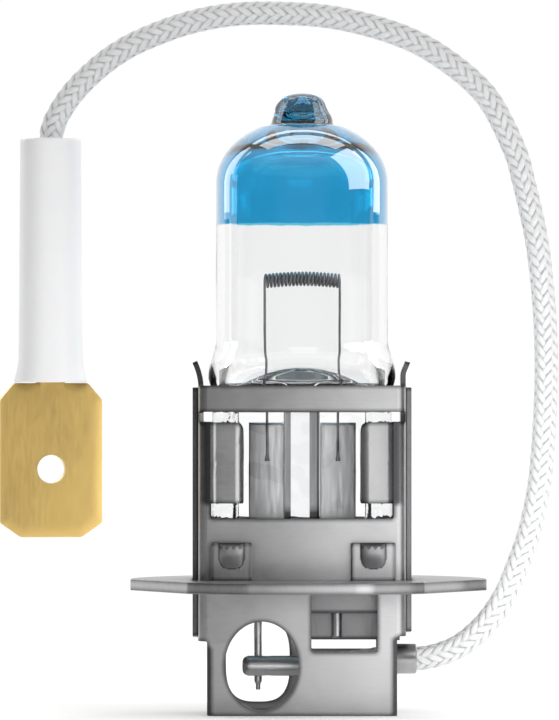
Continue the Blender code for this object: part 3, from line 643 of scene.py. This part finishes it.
def outer_rings():
    rings = []
    for share in (0.0, 0.25, 0.6, 1.0):
        inset = FOOT_ROUNDING * (1 - math.sqrt(1 - (1 - share) ** 2))
        size = PINCH_HALF_WIDTH - inset, PINCH_HALF_DEPTH - inset
        rings.append(glass_ring(PINCH_BOTTOM_Z + FOOT_ROUNDING * share, *size, PINCH_SQUARENESS, 1))
    for index in range(1, 61):
        z = mixed(PINCH_BOTTOM_Z + FOOT_ROUNDING, SHOULDER_TOP_Z, index / 60)
        rings.append(glass_ring(z, *pinch_and_shoulder(z), 0.02 * (1 - smoothstep(z, 18, 20))))
    for index in range(1, 17):
        z = mixed(SHOULDER_TOP_Z, STRAIGHT_TOP_Z, index / 16)
        rings.append(glass_ring(z, BULB_RADIUS, BULB_RADIUS))
    for index in range(1, 23):
        z = mixed(STRAIGHT_TOP_Z, TIP_BASE_Z, math.sin(math.pi / 2 * index / 22))
        fall = ((z - STRAIGHT_TOP_Z) / DOME_HEIGHT) ** 2.2
        radius = max(BULB_RADIUS * math.sqrt(1 - fall), TIP_RADIUS)
        rings.append(glass_ring(z, radius, radius))
    for z, radius in (
        (36.18, 2.02), (36.3, 1.9), (36.5, 1.84), (36.75, 1.78), (37.0, 1.7), (37.25, 1.6),
        (37.5, 1.47), (37.7, 1.33), (37.86, 1.17), (37.99, 0.95), (38.08, 0.66), (38.14, 0.33),
    ):
        rings.append(tip_ring(z, radius))
    return rings


def inner_rings():
    """The gas space: over the pinch's hump, up inside the shoulder and the bulb, and its dome."""
    rings = []
    for z, width, depth in (
        (21.72, 0.5, 0.28), (21.66, 0.95, 0.5), (21.5, 1.55, 0.75), (21.3, 2.1, 0.95),
        (21.02, 2.7, 1.15), (20.72, 3.2, 1.3), (20.45, 3.6, 1.42), (20.2, 3.9, 1.52),
        (20.0, 4.15, 1.62), (19.9, 4.3, 1.72), (19.88, 4.42, 1.84), (19.93, 4.52, 1.95),
    ):
        rings.append(glass_ring(z, width, depth))
    wall = BULB_RADIUS - CAVITY_RADIUS
    for index in range(17):
        z = mixed(20.05, CAVITY_STRAIGHT_Z, index / 16)
        width, depth = pinch_and_shoulder(z)[:2]
        rings.append(glass_ring(z, width - wall, min(depth - wall, CAVITY_RADIUS)))
    for index in range(1, 15):
        z = mixed(CAVITY_STRAIGHT_Z, STRAIGHT_TOP_Z, index / 14)
        rings.append(glass_ring(z, CAVITY_RADIUS, CAVITY_RADIUS))
    for index in range(1, 25):
        share = math.sin(math.pi / 2 * index / 25)
        radius = CAVITY_RADIUS * math.sqrt(1 - share ** 3)
        rings.append(glass_ring(STRAIGHT_TOP_Z + 2.62 * share, radius, radius))
    return rings


def tip_void_rings():
    """The sealed-off end of the exhaust tube's bore, a lumpy hollow inside the tip."""
    rings = []
    for index in range(1, 12):
        share = index / 12
        z = mixed(36.35, 37.72, share)
        rings.append(tip_ring(z, 1.15 * math.sin(math.pi * share) ** 0.6 * mixed(1, 0.75, share)))
    return rings


def loft(bm, rings, bottom, top, outside):
    """A closed skin over the rings. An inside one faces inwards, with the clear finish."""
    for face in band(bm, [[bottom], *rings, [top]]):
        middle = face.calc_center_median()
        if not outside:
            face.normal_flip()
            face.material_index = CLEAR
        elif middle.z < 18.9 and (-1.06 < middle.x < -0.66 or 0.5 < middle.x < 1.06):
            face.material_index = RIDGE
        elif middle.z < 18.9 and abs(middle.x) > 3.95:
            face.material_index = RIM
        elif middle.z < 18.9 and -0.66 <= middle.x <= 0.5:
            face.material_index = WEB


def make_envelope(*finishes):
    bm = bmesh.new()
    loft(bm, outer_rings(), (0, 0, PINCH_BOTTOM_Z), (0, 0, 38.16), True)
    loft(bm, inner_rings(), (0, 0, 21.75), (0, 0, 35.1), False)
    loft(bm, tip_void_rings(), (0, 0, 36.3), (0, 0, 37.78), False)
    return piece("envelope", "quartz", "quartz_envelope", bm, *finishes, outward=False)


# Filament, foils and outer leads.


def make_coil(material):
    """The coil and its two legs, which sink into the pinch and end in a weld on each foil."""
    coil_x, coil_z, radius, turns = (-2.28, 2.36), 26.6, 0.38, 20.5
    legs = []
    for x, y, end_x in ((coil_x[0], -radius, -2.14), (coil_x[1], radius, 2.22)):
        legs.append(catmull_rom([
            (x, y, coil_z), (x, y * 0.97, coil_z - 0.7),
            (mixed(x, end_x, 0.1), mixed(y, LEG_Y, 0.35), 24.0),
            (mixed(x, end_x, 0.3), mixed(y, LEG_Y, 0.8), 22.0), (mixed(x, end_x, 0.6), LEG_Y, 20.3),
            (end_x, LEG_Y, 18.4), (end_x, LEG_Y, 16.2), (end_x, LEG_Y, 15.54),
        ], 5))
    points = legs[0][::-1]
    total = int(turns * 18)
    for step in range(1, total):
        share = step / total
        angle = 2 * math.pi * turns * share
        z = coil_z + 0.14 * math.sin(math.pi * share) + radius * math.sin(angle)
        points.append(Vector((mixed(*coil_x, share), -radius * math.cos(angle), z)))
    points += legs[1]
    radii = []
    for point in points:
        weld = max(0, 1 - abs(point.z - 15.62) / 0.22)
        radii.append(0.08 * (1 + 0.9 * math.sqrt(weld)))
    bm = bmesh.new()
    tube_along(bm, points, radii, 10)
    return piece("coil_and_legs", "tungsten", "filament", bm, material)


def make_foil(name, centre_x, material, replaced):
    """A rolled foil ribbon with feathered edges, faintly buckled in the glass."""
    bm = bmesh.new()
    shade = bm.verts.layers.float.new("across")
    half_width, inward = 1.1, -1 if centre_x > 0 else 1
    rims = []
    for face in (-1, 1):

        def place(u, v):
            z = mixed(10.3, 17.9, v)
            edge = math.sqrt(max(1 - abs(u) ** 3, 0))
            buckle = 0.02 * noise.noise(Vector((u * 1.5 + centre_x, 3, z * 0.9)))
            return centre_x + half_width * u, face * (0.005 + 0.02 * edge) + buckle, z

        grid = grid_of(bm, 22, 40, place)
        for _, _, corners in squares(grid):
            bm.faces.new(corners if face < 0 else corners[::-1])
        rim = [line[0] for line in grid] + grid[-1][1:]
        rims.append(rim + [line[-1] for line in grid[-2::-1]] + grid[0][-2:0:-1])
    joined(bm, rims)
    for vert in bm.verts:
        # This runs to -1 at the foil's outer edge, where the molybdenum finish paints shade.
        vert[shade] = inward * (vert.co.x - centre_x) / half_width
    return piece(name, "molybdenum", replaced, bm, material)


def make_lead(name, route, radius, material, replaced, tail=1.0):
    """A round wire that may narrow towards its end."""
    points = catmull_rom(route, 8)
    radii = []
    for left in reversed(range(len(points))):
        radii.append(radius * mixed(tail, 1, smoothstep(left, 6, 14)))
    bm = bmesh.new()
    tube_along(bm, points, radii, 18)
    piece(name, "molybdenum", replaced, bm, material)


def make_outer_leads(material):
    feed = [
        (-2.15, -0.3, 11.5), (-2.15, -0.3, 8.8), (-2.15, -0.3, 8.2), (-2.3, -0.1, 7.4),
        (-2.55, 0.44, 6.6), (-2.7, 0.885, 5.6), (-2.7, 0.885, 3.6), (-2.7, 0.885, 2.2),
        (-2.7, 0.885, 1.8), (-2.7, 0.885, 1.44),
    ]
    make_lead("feed_lead", feed, 0.235, material, "lead_feed", 0.6)
    ground = [
        (2.17, -0.365, 11.5), (2.17, -0.365, 8.8), (2.15, -0.365, 8.2), (2.15, -0.28, 7.4),
        (2.15, -0.28, 6.0), (2.15, -0.28, 4.65),
    ]
    make_lead("ground_lead", ground, 0.3, material, "lead_ground")


# Small turned pieces.


def along_x(x, z):
    return Matrix.Translation((x, 0, z)) @ Matrix.Rotation(math.pi / 2, 4, "Y")


def make_crimp_tube(material):
    """The closed steel tube that joins the feed lead to the fly lead, lightly squeezed."""
    length, radius, bore, wall = 4.97, 0.62, 0.47, 0.35
    profile = [
        (0, 0), (radius - 0.34, 0.01), (radius - 0.2, 0.05), (radius - 0.08, 0.16), (radius, 0.36),
    ]
    for index in range(1, 24):
        profile.append((radius, mixed(0.36, length - 0.08, index / 24)))
    profile += [
        (radius, length - 0.08), (radius - 0.05, length), (bore + 0.03, length),
        (bore, length - 0.05), (bore, wall + 0.1), (bore - 0.1, wall), (0, wall),
    ]

    def dent(c, s, z):
        pinch = sum(math.exp(-((z - at) / 0.22) ** 2) for at in (1.55, 3.35))
        return -0.02 * pinch * abs(c) ** 3 if abs(z - 2.4) < 1.9 else 0

    bm = bmesh.new()
    lathe(bm, profile, 48, along_x(-3.67, CRIMP_Z), closed=False, wobble=dent)
    return piece("feed_crimp", "tube_steel", "crimp_tube", bm, material)


def make_ferrule(material):
    length, radius, bore = 2.35, 0.92, 0.81
    profile = [
        (bore, 0), (radius - 0.02, 0), (radius, 0.03), (radius, 1.2), (radius, length - 0.12),
        (radius - 0.03, length - 0.05), (radius - 0.07, length - 0.01), (bore + 0.01, length),
        (bore, length - 0.03), (bore, 1.2),
    ]
    bm = bmesh.new()
    lathe(bm, profile, 56, along_x(LEAD_EXIT[0] - length, LEAD_EXIT[2]))
    return piece("ferrule", "tube_steel", "exit_ferrule", bm, material)


def make_sleeve(material):
    """The moulded insulating sleeve over the terminal's barrels, flared at its foot."""
    low, high = 20.38, 35.39
    outer = [
        (1.72, high), (1.80, high - 0.03), (1.86, high - 0.1), (1.885, high - 0.22),
        (1.89, high - 2), (1.905, 32), (1.92, 29), (1.94, 26), (1.96, 23.5), (1.98, 22.1),
        (1.99, 21.75), (2.05, 21.35), (2.13, 21.0), (2.19, 20.75), (2.235, 20.55),
        (2.25, 20.45), (2.22, low),
    ]
    inner = [
        (1.5, low), (1.36, 20.5), (1.3, 20.98), (1.3, 27), (1.3, high - 2.2), (1.1, high - 1.8),
        (0.86, high - 1.4), (0.86, high - 0.12), (0.95, high - 0.02), (1.2, high),
    ]

    def uneven(c, s, z):
        return 0.012 * noise.noise(Vector((c, s, z * 0.35)))

    bm = bmesh.new()
    lathe(bm, outer + inner, 72, Matrix.Translation((TERMINAL_X, 0, 0)), wobble=uneven)
    return piece("sleeve", "white_sleeve", "terminal_sleeve", bm, material)


def evaluated(shape):
    """Replaces an object with its final mesh, as a bmesh."""
    scene.collection.objects.link(shape)
    bpy.context.view_layer.update()
    graph = bpy.context.evaluated_depsgraph_get()
    mesh = bpy.data.meshes.new_from_object(shape.evaluated_get(graph))
    bpy.data.objects.remove(shape)
    bm = bmesh.new()
    bm.from_mesh(mesh)
    bpy.data.meshes.remove(mesh)
    return bm


def filled(loops, **settings):
    """A flat outline with its holes, filled in its own plane, as a bmesh."""
    curve = bpy.data.curves.new("outline", "CURVE")
    curve.dimensions = "2D"
    for name, value in settings.items():
        setattr(curve, name, value)
    for loop in loops:
        spline = curve.splines.new("POLY")
        spline.points.add(len(loop) - 1)
        for point, place in zip(spline.points, loop):
            point.co = (*place, 0, 1)
        spline.use_cyclic_u = True
    bm = evaluated(bpy.data.objects.new("outline", curve))
    bmesh.ops.remove_doubles(bm, verts=bm.verts, dist=1e-5)
    return bm


def rounded_corners(loop, radius, steps=4):
    """The outline with each corner cut by a small arc."""
    made = []
    count = len(loop)
    for index in range(count):
        before, here, after = (Vector(loop[(index + k) % count]) for k in (-1, 0, 1))
        start = here + (before - here).normalized() * min(radius, (before - here).length / 2)
        end = here + (after - here).normalized() * min(radius, (after - here).length / 2)
        for step in range(steps + 1):
            t = step / steps
            made.append(tuple(start * (1 - t) ** 2 + here * 2 * t * (1 - t) + end * t * t))
    return made


def make_terminal(material):
    """The stamped blade with coined edges, its neck, and the crimp barrels inside the sleeve."""
    outline = [(1.88, 10.86), (3.15, 11.74), (3.15, 19.3), (2.28, 20.33), (0.8, 20.33), (0.8, 22.2)]
    flat = [(1.64, 11.62), (2.42, 12.16), (2.42, 19.05), (1.95, 19.72), (0.7, 19.9), (0.7, 22.1)]
    flat, outline = (rounded_corners(mirrored(half), 0.14) for half in (flat, outline))
    hole = oval((-0.875, 0.875), (14.165, 15.915), points=48)[::-1]
    face_y, edge_y = 0.4, 0.32
    steps = ((flat, face_y), (outline, edge_y), (outline, -edge_y), (flat, -face_y))
    bm = bmesh.new()
    for y in (face_y, -face_y):
        face = flat_sheet([flat, hole])
        for vert in face.verts:
            vert.co = (vert.co.x, y, vert.co.y)
        merge(bm, face)
    for loops in (steps, ((hole, face_y), (hole, -face_y))):
        band(bm, [[(u, y, v) for u, v in loop] for loop, y in loops])
    bmesh.ops.remove_doubles(bm, verts=bm.verts, dist=1e-3)
    for low, high, radius, bore in ((21.8, 26.4, 0.85, 0.43), (27.3, 30.8, 1.12, 0.84)):
        lathe(bm, [(bore, low), (radius, low), (radius, high), (bore, high)], 32)
    turn = Matrix.Rotation(math.radians(BLADE_TURN), 4, "Z")
    bm.transform(Matrix.Translation((TERMINAL_X, 0, 0)) @ turn)
    made = piece("terminal", "brass", "blade_terminal", bm, material)
    crisp_shading(made, BLADE_TURN)
    return made


# Cap shells. Each wall is drawn flat, as (s, z) along the bent strip, and then folded.


class Fold:
    """A channel's mid-sheet: a flat wall, a bend at each end of it, and two side walls."""

    def __init__(self, half_width, wall_y, way):
        self.radius = 0.45
        self.side_x = half_width - SHEET / 2
        self.flat = self.side_x - self.radius
        self.arc = self.radius * math.pi / 2
        self.wall_y = wall_y + way * SHEET / 2
        self.way = way

    def length_to(self, depth):
        """How far along the strip, from its middle, a side wall's edge at this depth lies."""
        return self.flat + self.arc + depth - SHEET / 2 - self.radius

    def place(self, s, z):
        side = 1 if s > 0 else -1
        run = abs(s)
        if run <= self.flat:
            return Vector((s, self.wall_y, z))
        if run < self.flat + self.arc:
            angle = (run - self.flat) / self.radius
            x = self.flat + self.radius * math.sin(angle)
            depth = self.radius * (1 - math.cos(angle))
        else:
            x, depth = self.side_x, self.radius + run - self.flat - self.arc
        return Vector((side * x, self.wall_y + self.way * depth, z))


def flat_sheet(loops, cuts_u=(), cuts_v=()):
    """A flat outline with its holes, cut across at the given lines."""
    bm = filled(loops, fill_mode="FRONT")
    for axis, cuts in ((Vector((1, 0, 0)), cuts_u), (Vector((0, 1, 0)), cuts_v)):
        for at in cuts:
            whole = bm.verts[:] + bm.edges[:] + bm.faces[:]
            bmesh.ops.bisect_plane(bm, geom=whole, dist=1e-5, plane_co=axis * at, plane_no=axis)
    return bm


def bent(bm, edge):
    """Gives a folded sheet its thickness and slightly rounded sheared edges."""
    mesh = bpy.data.meshes.new("sheet")
    bmesh.ops.recalc_face_normals(bm, faces=bm.faces)
    bm.to_mesh(mesh)
    bm.free()
    made = bpy.data.objects.new("sheet", mesh)
    solid = made.modifiers.new("thickness", "SOLIDIFY")
    solid.thickness = SHEET
    solid.offset = 0
    solid.use_even_offset = True
    add_bevel(made, edge, 50)
    return evaluated(made)


def merge(target, other):
    mesh = bpy.data.meshes.new("part")
    other.to_mesh(mesh)
    other.free()
    target.from_mesh(mesh)
    bpy.data.meshes.remove(mesh)


def oval(x_span, z_span, squareness=2.0, points=96):
    """An ellipse that fills the spans, or a squarer loop."""

    def reach(span, share):
        out = (span[1] - span[0]) / 2 * abs(share) ** (2 / squareness)
        return sum(span) / 2 + math.copysign(out, share)

    return [(reach(x_span, c), reach(z_span, s)) for c, s in circle(points)]


def window_loop(slot):
    """The window with the slot over it, of the given half width, as one outline."""
    side, low, high, top = 5.6, 12.05, WINDOW_TOP_Z, 18.58
    right = [(side, low), (side, high), (slot, high), (slot, top)]
    return rounded_corners(mirrored(right), 0.12, 3)


def fold_cuts(fold):
    """Where the flat sheet is cut across, so that its two bends come out round."""
    steps = [fold.flat + fold.arc * step / 12 for step in range(13)]
    return [side * at for side in (-1, 1) for at in steps]


def finger_sheet(side, front):
    """A spring finger, stepped in from the wall to the pinch's rim, its inner edge curled."""
    plan = (
        (5.80, 3.35), (5.79, 3.1), (5.77, 2.85), (5.71, 2.62), (5.60, 2.44), (5.44, 2.33),
        (5.25, 2.28), (4.8, 2.28), (4.45, 2.28), (4.15, 2.28), (3.98, 2.27), (3.86, 2.2),
        (3.77, 2.05), (3.72, 1.88),
    )
    points = [Vector(place) for place in plan]
    runs = [0]
    for start, end in zip(points, points[1:]):
        runs.append(runs[-1] + (end - start).length)
    low, high, corner, clip = 12.96, WINDOW_TOP_Z, 0.75, 0.12
    total = runs[-1]
    loop = [(0, low), (total - clip, low), (total, low + clip), (total, high - corner)]
    for step in range(1, 9):
        c, s = (trig(math.pi / 2 * step / 8) for trig in (math.cos, math.sin))
        loop.append((total - corner * (1 - c), high - corner * (1 - s)))
    loop.append((0, high))
    bm = flat_sheet([loop], runs[1:-1], (14.2, 15.4, 16.6))
    for vert in bm.verts:
        run, z = vert.co.x, vert.co.y
        index = max(i for i in range(len(runs) - 1) if runs[i] <= run + 1e-6)
        share = (run - runs[index]) / (runs[index + 1] - runs[index])
        spot = points[index].lerp(points[index + 1], share)
        vert.co = (side * spot.x, front * spot.y, z)
    return bent(bm, 0.07)


def foot_wall(side):
    """The narrower side wall of the cap's foot, with the ferrule's hole on the right."""
    low, high, top = -3.3, 3.1, 4.75 if side > 0 else 4.2
    loops = [[(low, 0), (high, 0), (high, top), (low, top)]]
    if side > 0:
        reach, middle = 0.96, LEAD_EXIT[2]
        loops.append(oval((-reach, reach), (middle - reach, middle + reach)))
    bm = flat_sheet(loops, (-1, 1))
    for vert in bm.verts:
        vert.co = (side * 5.65, vert.co.x, vert.co.y)
    return bent(bm, 0.05)


def shell_wall(fold, depth, top, holes, ears):
    """The channel: its facing wall down to the foot, both side walls, and the ears on top."""
    end = fold.length_to(depth)
    left_foot, right_foot, edge = 4.55, 4.86, 5.8
    right = [(edge, 0), (edge, right_foot), (end, right_foot + 0.3), (end, top)]
    left = [(-end, top), (-end, left_foot + 0.3), (-edge, left_foot), (-edge, 0)]
    crown, cuts = [], []
    if ears:
        middle = fold.length_to(3.5)
        ear = (1.6, 0), (1.5, 1.45), (-1.5, 1.45), (-1.6, 0)
        crown = mirrored([(middle + u, top + v) for u, v in ear])
        cuts = [top + 0.1 * step for step in range(15)]
    outline = rounded_corners(right + crown + left, 0.08, 2)
    bm = flat_sheet([outline] + holes, fold_cuts(fold), cuts)
    for vert in bm.verts:
        s, z = vert.co.x, vert.co.y
        vert.co = fold.place(s, z)
        rise = z - top
        if ears and rise > 1e-4 and s > 0:
            vert.co.x += 0.3 * smoothstep(rise, 0.5, 1.6) ** 1.3
        elif ears and rise > 1e-4:
            vert.co.x -= 0.06 * rise + 0.14 * rise ** 2
    return bent(bm, 0.09)


def make_shell(name, replaced, fold, slot, opening, depth, top, material):
    """One half of the cap. The front half also has the ears and the sides of the foot."""
    front = fold.way > 0
    holes = [window_loop(slot), opening, rounded_corners(SQUARE_OPENING, 0.12, 3)]
    bm = shell_wall(fold, depth, top, holes, front)
    for side in (-1, 1):
        merge(bm, finger_sheet(side, -fold.way))
        if front:
            merge(bm, foot_wall(side))
    crisp_shading(piece(name, "cap_steel", replaced, bm, material, outward=False))


def make_shells(material):
    fold = Fold(6.36, -3.5, 1)
    slot, opening = fold.flat + fold.arc * 0.75, oval((-4.73, -0.18), (0.33, 5.76))
    make_shell("cap_front", "front_shell", fold, slot, opening, 6.2, 20.19, material)
    fold = Fold(6.7, 3.5, -1)
    opening = oval((-4.7, -0.75), (0.6, 5.7), 3)
    make_shell("cap_back", "back_shell", fold, fold.flat, opening, 6.1, 20.06, material)


# Prefocus flange.


def flange_loop():
    """A round back and a front of flats, as a loop that starts at the left end."""
    corners = [(-9.9, -4.0), (-6.6, -8.3), (-3.84, -10.3), (3.84, -10.3), (7.0, -8.2), (10.4, -4.3)]
    loop = rounded_corners(corners, 0.7, 6)[7:-7]
    for index in range(73):
        angle = math.pi * index / 72
        loop.append((0.405 + FLANGE_RADIUS * math.cos(angle), FLANGE_RADIUS * math.sin(angle)))
    return loop


def rounded_box(bm, low, high, radius):
    made = bmesh.ops.create_cube(bm, size=1)["verts"]
    low, high = Vector(low), Vector(high)
    place = Matrix.Translation((low + high) / 2) @ Matrix.Diagonal((*(high - low), 1))
    bmesh.ops.transform(bm, matrix=place, verts=made)
    edges = list({edge for vert in made for edge in vert.link_edges})
    bmesh.ops.bevel(bm, geom=edges, offset=radius, segments=3, profile=0.5, affect="EDGES")


def scoop_swell(u, v):
    """The outward swelling of a scoop: u across from -1 to 1, v down from 0 to 1."""
    half = (1 - v ** 3.2) ** (1 / 3.2) if v < 1 else 0
    if half < 1e-4 or abs(u) >= half:
        return 0
    across = (1 - (abs(u) / half) ** 2.6) ** 0.5
    lip = 0.55 + 0.45 * smoothstep(v, 0, 0.09)
    belly = (1 - smoothstep(v, 0.3, 1.05)) ** 0.8
    return across * lip * belly


def add_scoop(bm, x, face_y, front):
    """A lanced half cup on a tab: swollen outwards, with its cut upper edge turned back in."""
    half_width, top, bottom = 0.8, 10.5, 8.98

    def place(u, v):
        out = 0.30 * scoop_swell(u, v) - 0.02
        return x + half_width * u, face_y + front * out, mixed(top, bottom, v)

    grid = grid_of(bm, 28, 24, place)
    inner = [bm.verts.new((vert.co.x, face_y - front * 0.2, top)) for vert in grid[0]]
    for row, column, corners in squares(grid):
        if any((vert.co.y - face_y) * front > 0 for vert in corners):
            # Painted shadow: a ragged band along the top and the turned-back lip are near black for
            # the shade in the lanced opening; the rest of the scoop gets a darker, shaded copy of
            # the steel.
            ragged = row < 3 + 1.6 * math.sin(0.9 * column)
            bm.faces.new(corners).material_index = CUT_SHADOW if ragged else SCOOP_SHADE
    for _, _, corners in squares([inner, grid[0]]):
        bm.faces.new(corners).material_index = CUT_SHADOW


def make_flange(*finishes):
    """The flange plate with its opening, and two tabs with scoops before it and behind it."""
    near, far, side, rounding = 3.54, 4.04, 6.74, 0.06
    opening = [(-side, -near), (-side, near), (side, near), (side, -near)]
    bm = filled(
        [flange_loop(), opening], fill_mode="BOTH", extrude=FLANGE_THICKNESS / 2 - rounding,
        bevel_depth=rounding, bevel_resolution=3, offset=-rounding,
    )
    bm.transform(Matrix.Translation((0, 0, 7.93)))
    for front in (-1, 1):
        for x0, x1 in ((-5.55, -3.05), (3.0, 5.7)):
            ys = sorted((front * near, front * far))
            rounded_box(bm, (x0, ys[0], 7.7), (x1, ys[1], 10.58), 0.09)
            add_scoop(bm, (x0 + x1) / 2, front * far, front)
    loose = [vert for vert in bm.verts if not vert.link_faces]
    bmesh.ops.delete(bm, geom=loose, context="VERTS")
    crisp_shading(piece("prefocus_flange", "flange_steel", "flange", bm, *finishes))


# Surroundings.


def make_floor():
    bm = bmesh.new()
    lathe(bm, [(radius, -0.02) for radius in (0.5, 40, 90, 95)], 96, closed=False)
    pale = Surface("pale_floor", Roughness=0.9, Specular_IOR_Level=0.0)
    pale.set(Emission_Color=(1, 1, 1, 1), Emission_Strength=0.2)
    grain = pale.spread(pale.noise(60, 2.0))
    pale.set(Base_Color=pale.blend(grain, 0.93, 0.96))
    finished("floor", bm, pale.material)


def make_world():
    """White behind the object and greys before it. Through the glass the greys are paler."""
    world = bpy.data.worlds.new("studio")
    world.use_nodes = True
    sky = Nodes(world.node_tree, "Generated")

    def eased(value, low, high, source):
        return sky.spread(value, low, high, source, "SMOOTHSTEP")

    def whitened(level, share):
        missing = sky.maths("SUBTRACT", 1.02, level)
        return sky.maths("ADD", level, sky.maths("MULTIPLY", missing, share))

    forward = sky.maths("MULTIPLY", sky.axis("Y"), -1.0)
    front = eased(forward, 0.10, 0.17, (0.72, 0.98))
    above = eased(sky.axis("Z"), 0.0, 0.55, (0.35, 0.95))
    behind = eased(sky.axis("Y"), 0.0, 1.0, (0.5, 0.66))
    level = whitened(sky.maths("ADD", front, above), behind)
    path = sky.new("LightPath").outputs
    through = sky.maths("MULTIPLY", path["Is Transmission Ray"], 0.55)
    shown = whitened(level, sky.maths("MAXIMUM", path["Is Camera Ray"], through))
    sky.fill(sky.tree.nodes["Background"].inputs["Color"], shown)
    scene.world = world


def area_light(name, place, target, size, radiance, lit):
    data = bpy.data.lights.new(name, "AREA")
    data.shape = "RECTANGLE"
    data.size, data.size_y = size
    data.energy = radiance * math.pi * size[0] * size[1]
    lamp = bpy.data.objects.new(name, data)
    lamp.location = place
    towards = Vector(target) - Vector(place)
    lamp.rotation_euler = towards.to_track_quat("-Z", "Y").to_euler()
    lamp.visible_camera = False
    lamp.light_linking.receiver_collection = lit
    scene.collection.objects.link(lamp)


def lit_group(name, members):
    group = bpy.data.collections.new(name)
    for member in members:
        group.objects.link(member)
    return group


def make_lights(glass):
    """Soft cards. The glass has cards of its own for the long highlights at its sides."""
    solids = [o for o in scene.objects if o.type == "MESH" and o is not glass]
    others = lit_group("lit_solids", solids)
    bulb = lit_group("lit_glass", [glass])
    faces = lit_group("lit_faces", [o for o in solids if o.name != "ferrule"])
    lead = lit_group("lit_lead", [o for o in solids if o.name in ("braid", "sleeve", "terminal")])
    tube = lit_group("lit_tube", [o for o in solids if o.name in ("feed_crimp", "feed_lead")])
    middle, dome, level, low = (0, 0, 0.022), (0, 0, 0.033), (0, 0, 0.1833), (0, 0, -0.02)
    for name, lit, radiances, (x, y, z), target, size in (
        ("key", others, (0.45, 2.5), (0.26, -0.24, 0.30), middle, (0.26, 0.26)),
        ("side", others, (2.1, 2.8), (0.26, 0.17, 0.03), middle, (0.05, 0.42)),
        ("back", others, (2.0, 2.0), (0.22, 0.28, 0.26), middle, (0.24, 0.24)),
        ("strip", bulb, (2.6, 3.4), (0.267, 0.136, 0.1833), level, (0.106, 0.2942)),
        ("low", bulb, (0.45, 0.45), (0.29, -0.02, -0.02), low, (0.26, 0.10)),
    ):
        area_light(name + "_left", (-x, y, z), target, size, radiances[0], lit)
        area_light(name + "_right", (x, y, z), target, size, radiances[1], lit)
    for name, lit, radiance, place, target, size in (
        ("front_card", faces, 1.9, (0.0215, -0.028, 0.0065), (0.0215, 0, 0.0065), (0.040, 0.034)),
        ("lead_key", lead, 2.0, (-0.16, -0.38, 0.16), middle, (0.26, 0.26)),
        ("window_right", bulb, 3.4, (0.265, -0.03, 0.175), dome, (0.22, 0.30)),
        ("overhead", bulb, 2.6, (0.0, 0.12, 0.42), dome, (0.50, 0.26)),
        ("foil_card", bulb, 1.5, (0.02, -0.42, -0.014), (0, 0, 0.014), (0.30, 0.064)),
        ("tube_card", tube, 2.0, (0.0, -0.30, 0.006), (-0.002, 0, 0.003), (0.30, 0.045)),
    ):
        area_light(name, place, target, size, radiance, lit)


# Putting it together.

make_camera()
scene.view_settings.view_transform = "Standard"

braid, braid_path = make_braid(glass_fibre("glass_fibre_braid"))
tube_steel = steel("tube_steel", 0.52, 0.0, (6000, 900, 900), shaded_edges=False)
sleeve = make_sleeve(soft_plastic("white_sleeve", 0.95, (0.91, 0.915, 0.92), 0.42))
terminal = make_terminal(brass("brass"))
ferrule = make_ferrule(tube_steel)

envelope = make_envelope(
    quartz("quartz_coated", True), quartz("quartz_clear", False), pressed_quartz("quartz_ridge"),
    grained(
        "quartz_rim", ((900, 900, 700), 2.0, 0.5, 0.8), (0.88, 0.89, 0.90), 0.99,
        (0.00016, 1.0), Roughness=0.04, **QUARTZ,
    ),
    grained(
        "quartz_web", ((500, 500, 160), 2.0), (0.80, 0.81, 0.82), (0.90, 0.91, 0.915),
        (0.00006, 0.3), Roughness=0.0, **QUARTZ,
    ),
)
make_coil(grained(
    "tungsten", ((3000, 3000, 900), 3.0), (0.13, 0.13, 0.14), (0.26, 0.26, 0.27),
    (0.00001, 0.4), (0.32, 0.5), Metallic=1.0,
))
moly = molybdenum("molybdenum")
make_foil("feed_foil", -2.16, moly, "foil_feed")
make_foil("ground_foil", 2.2, moly, "foil_ground")
make_outer_leads(moly)
make_crimp_tube(tube_steel)

flange_steel = steel("flange_steel", 0.41, 0.02, (9000, 900, 900))
make_flange(
    # Painted shade: darker copies of the flange steel for the scoops' openings and bodies.
    flange_steel, steel("cut_shadow_steel", 0.16, 0.2, (3000, 3000, 3000), shaded_edges=False),
    steel("scoop_shade_steel", 0.33, 0.12, (900, 900, 3000), shaded_edges=False),
)
make_shells(steel("cap_steel"))

tinned_copper = grained(
    "tinned_copper", (2600, 3.0), (0.66, 0.58, 0.52), (0.80, 0.77, 0.74),
    (0.00001, 0.5), (0.3, 0.45), Metallic=1.0,
)
insulation = soft_plastic("insulation", (0.87, 0.87, 0.85), (0.82, 0.82, 0.80), 0.55)
for name, finish in (
    ("earth_bracket", flange_steel), ("conductor", tinned_copper), ("wire_insulation", insulation),
):
    slots = nodes[name].data.materials
    slots.clear()
    slots.append(finish)
soften(nodes["earth_bracket"])

make_floor()
make_world()
make_lights(envelope)
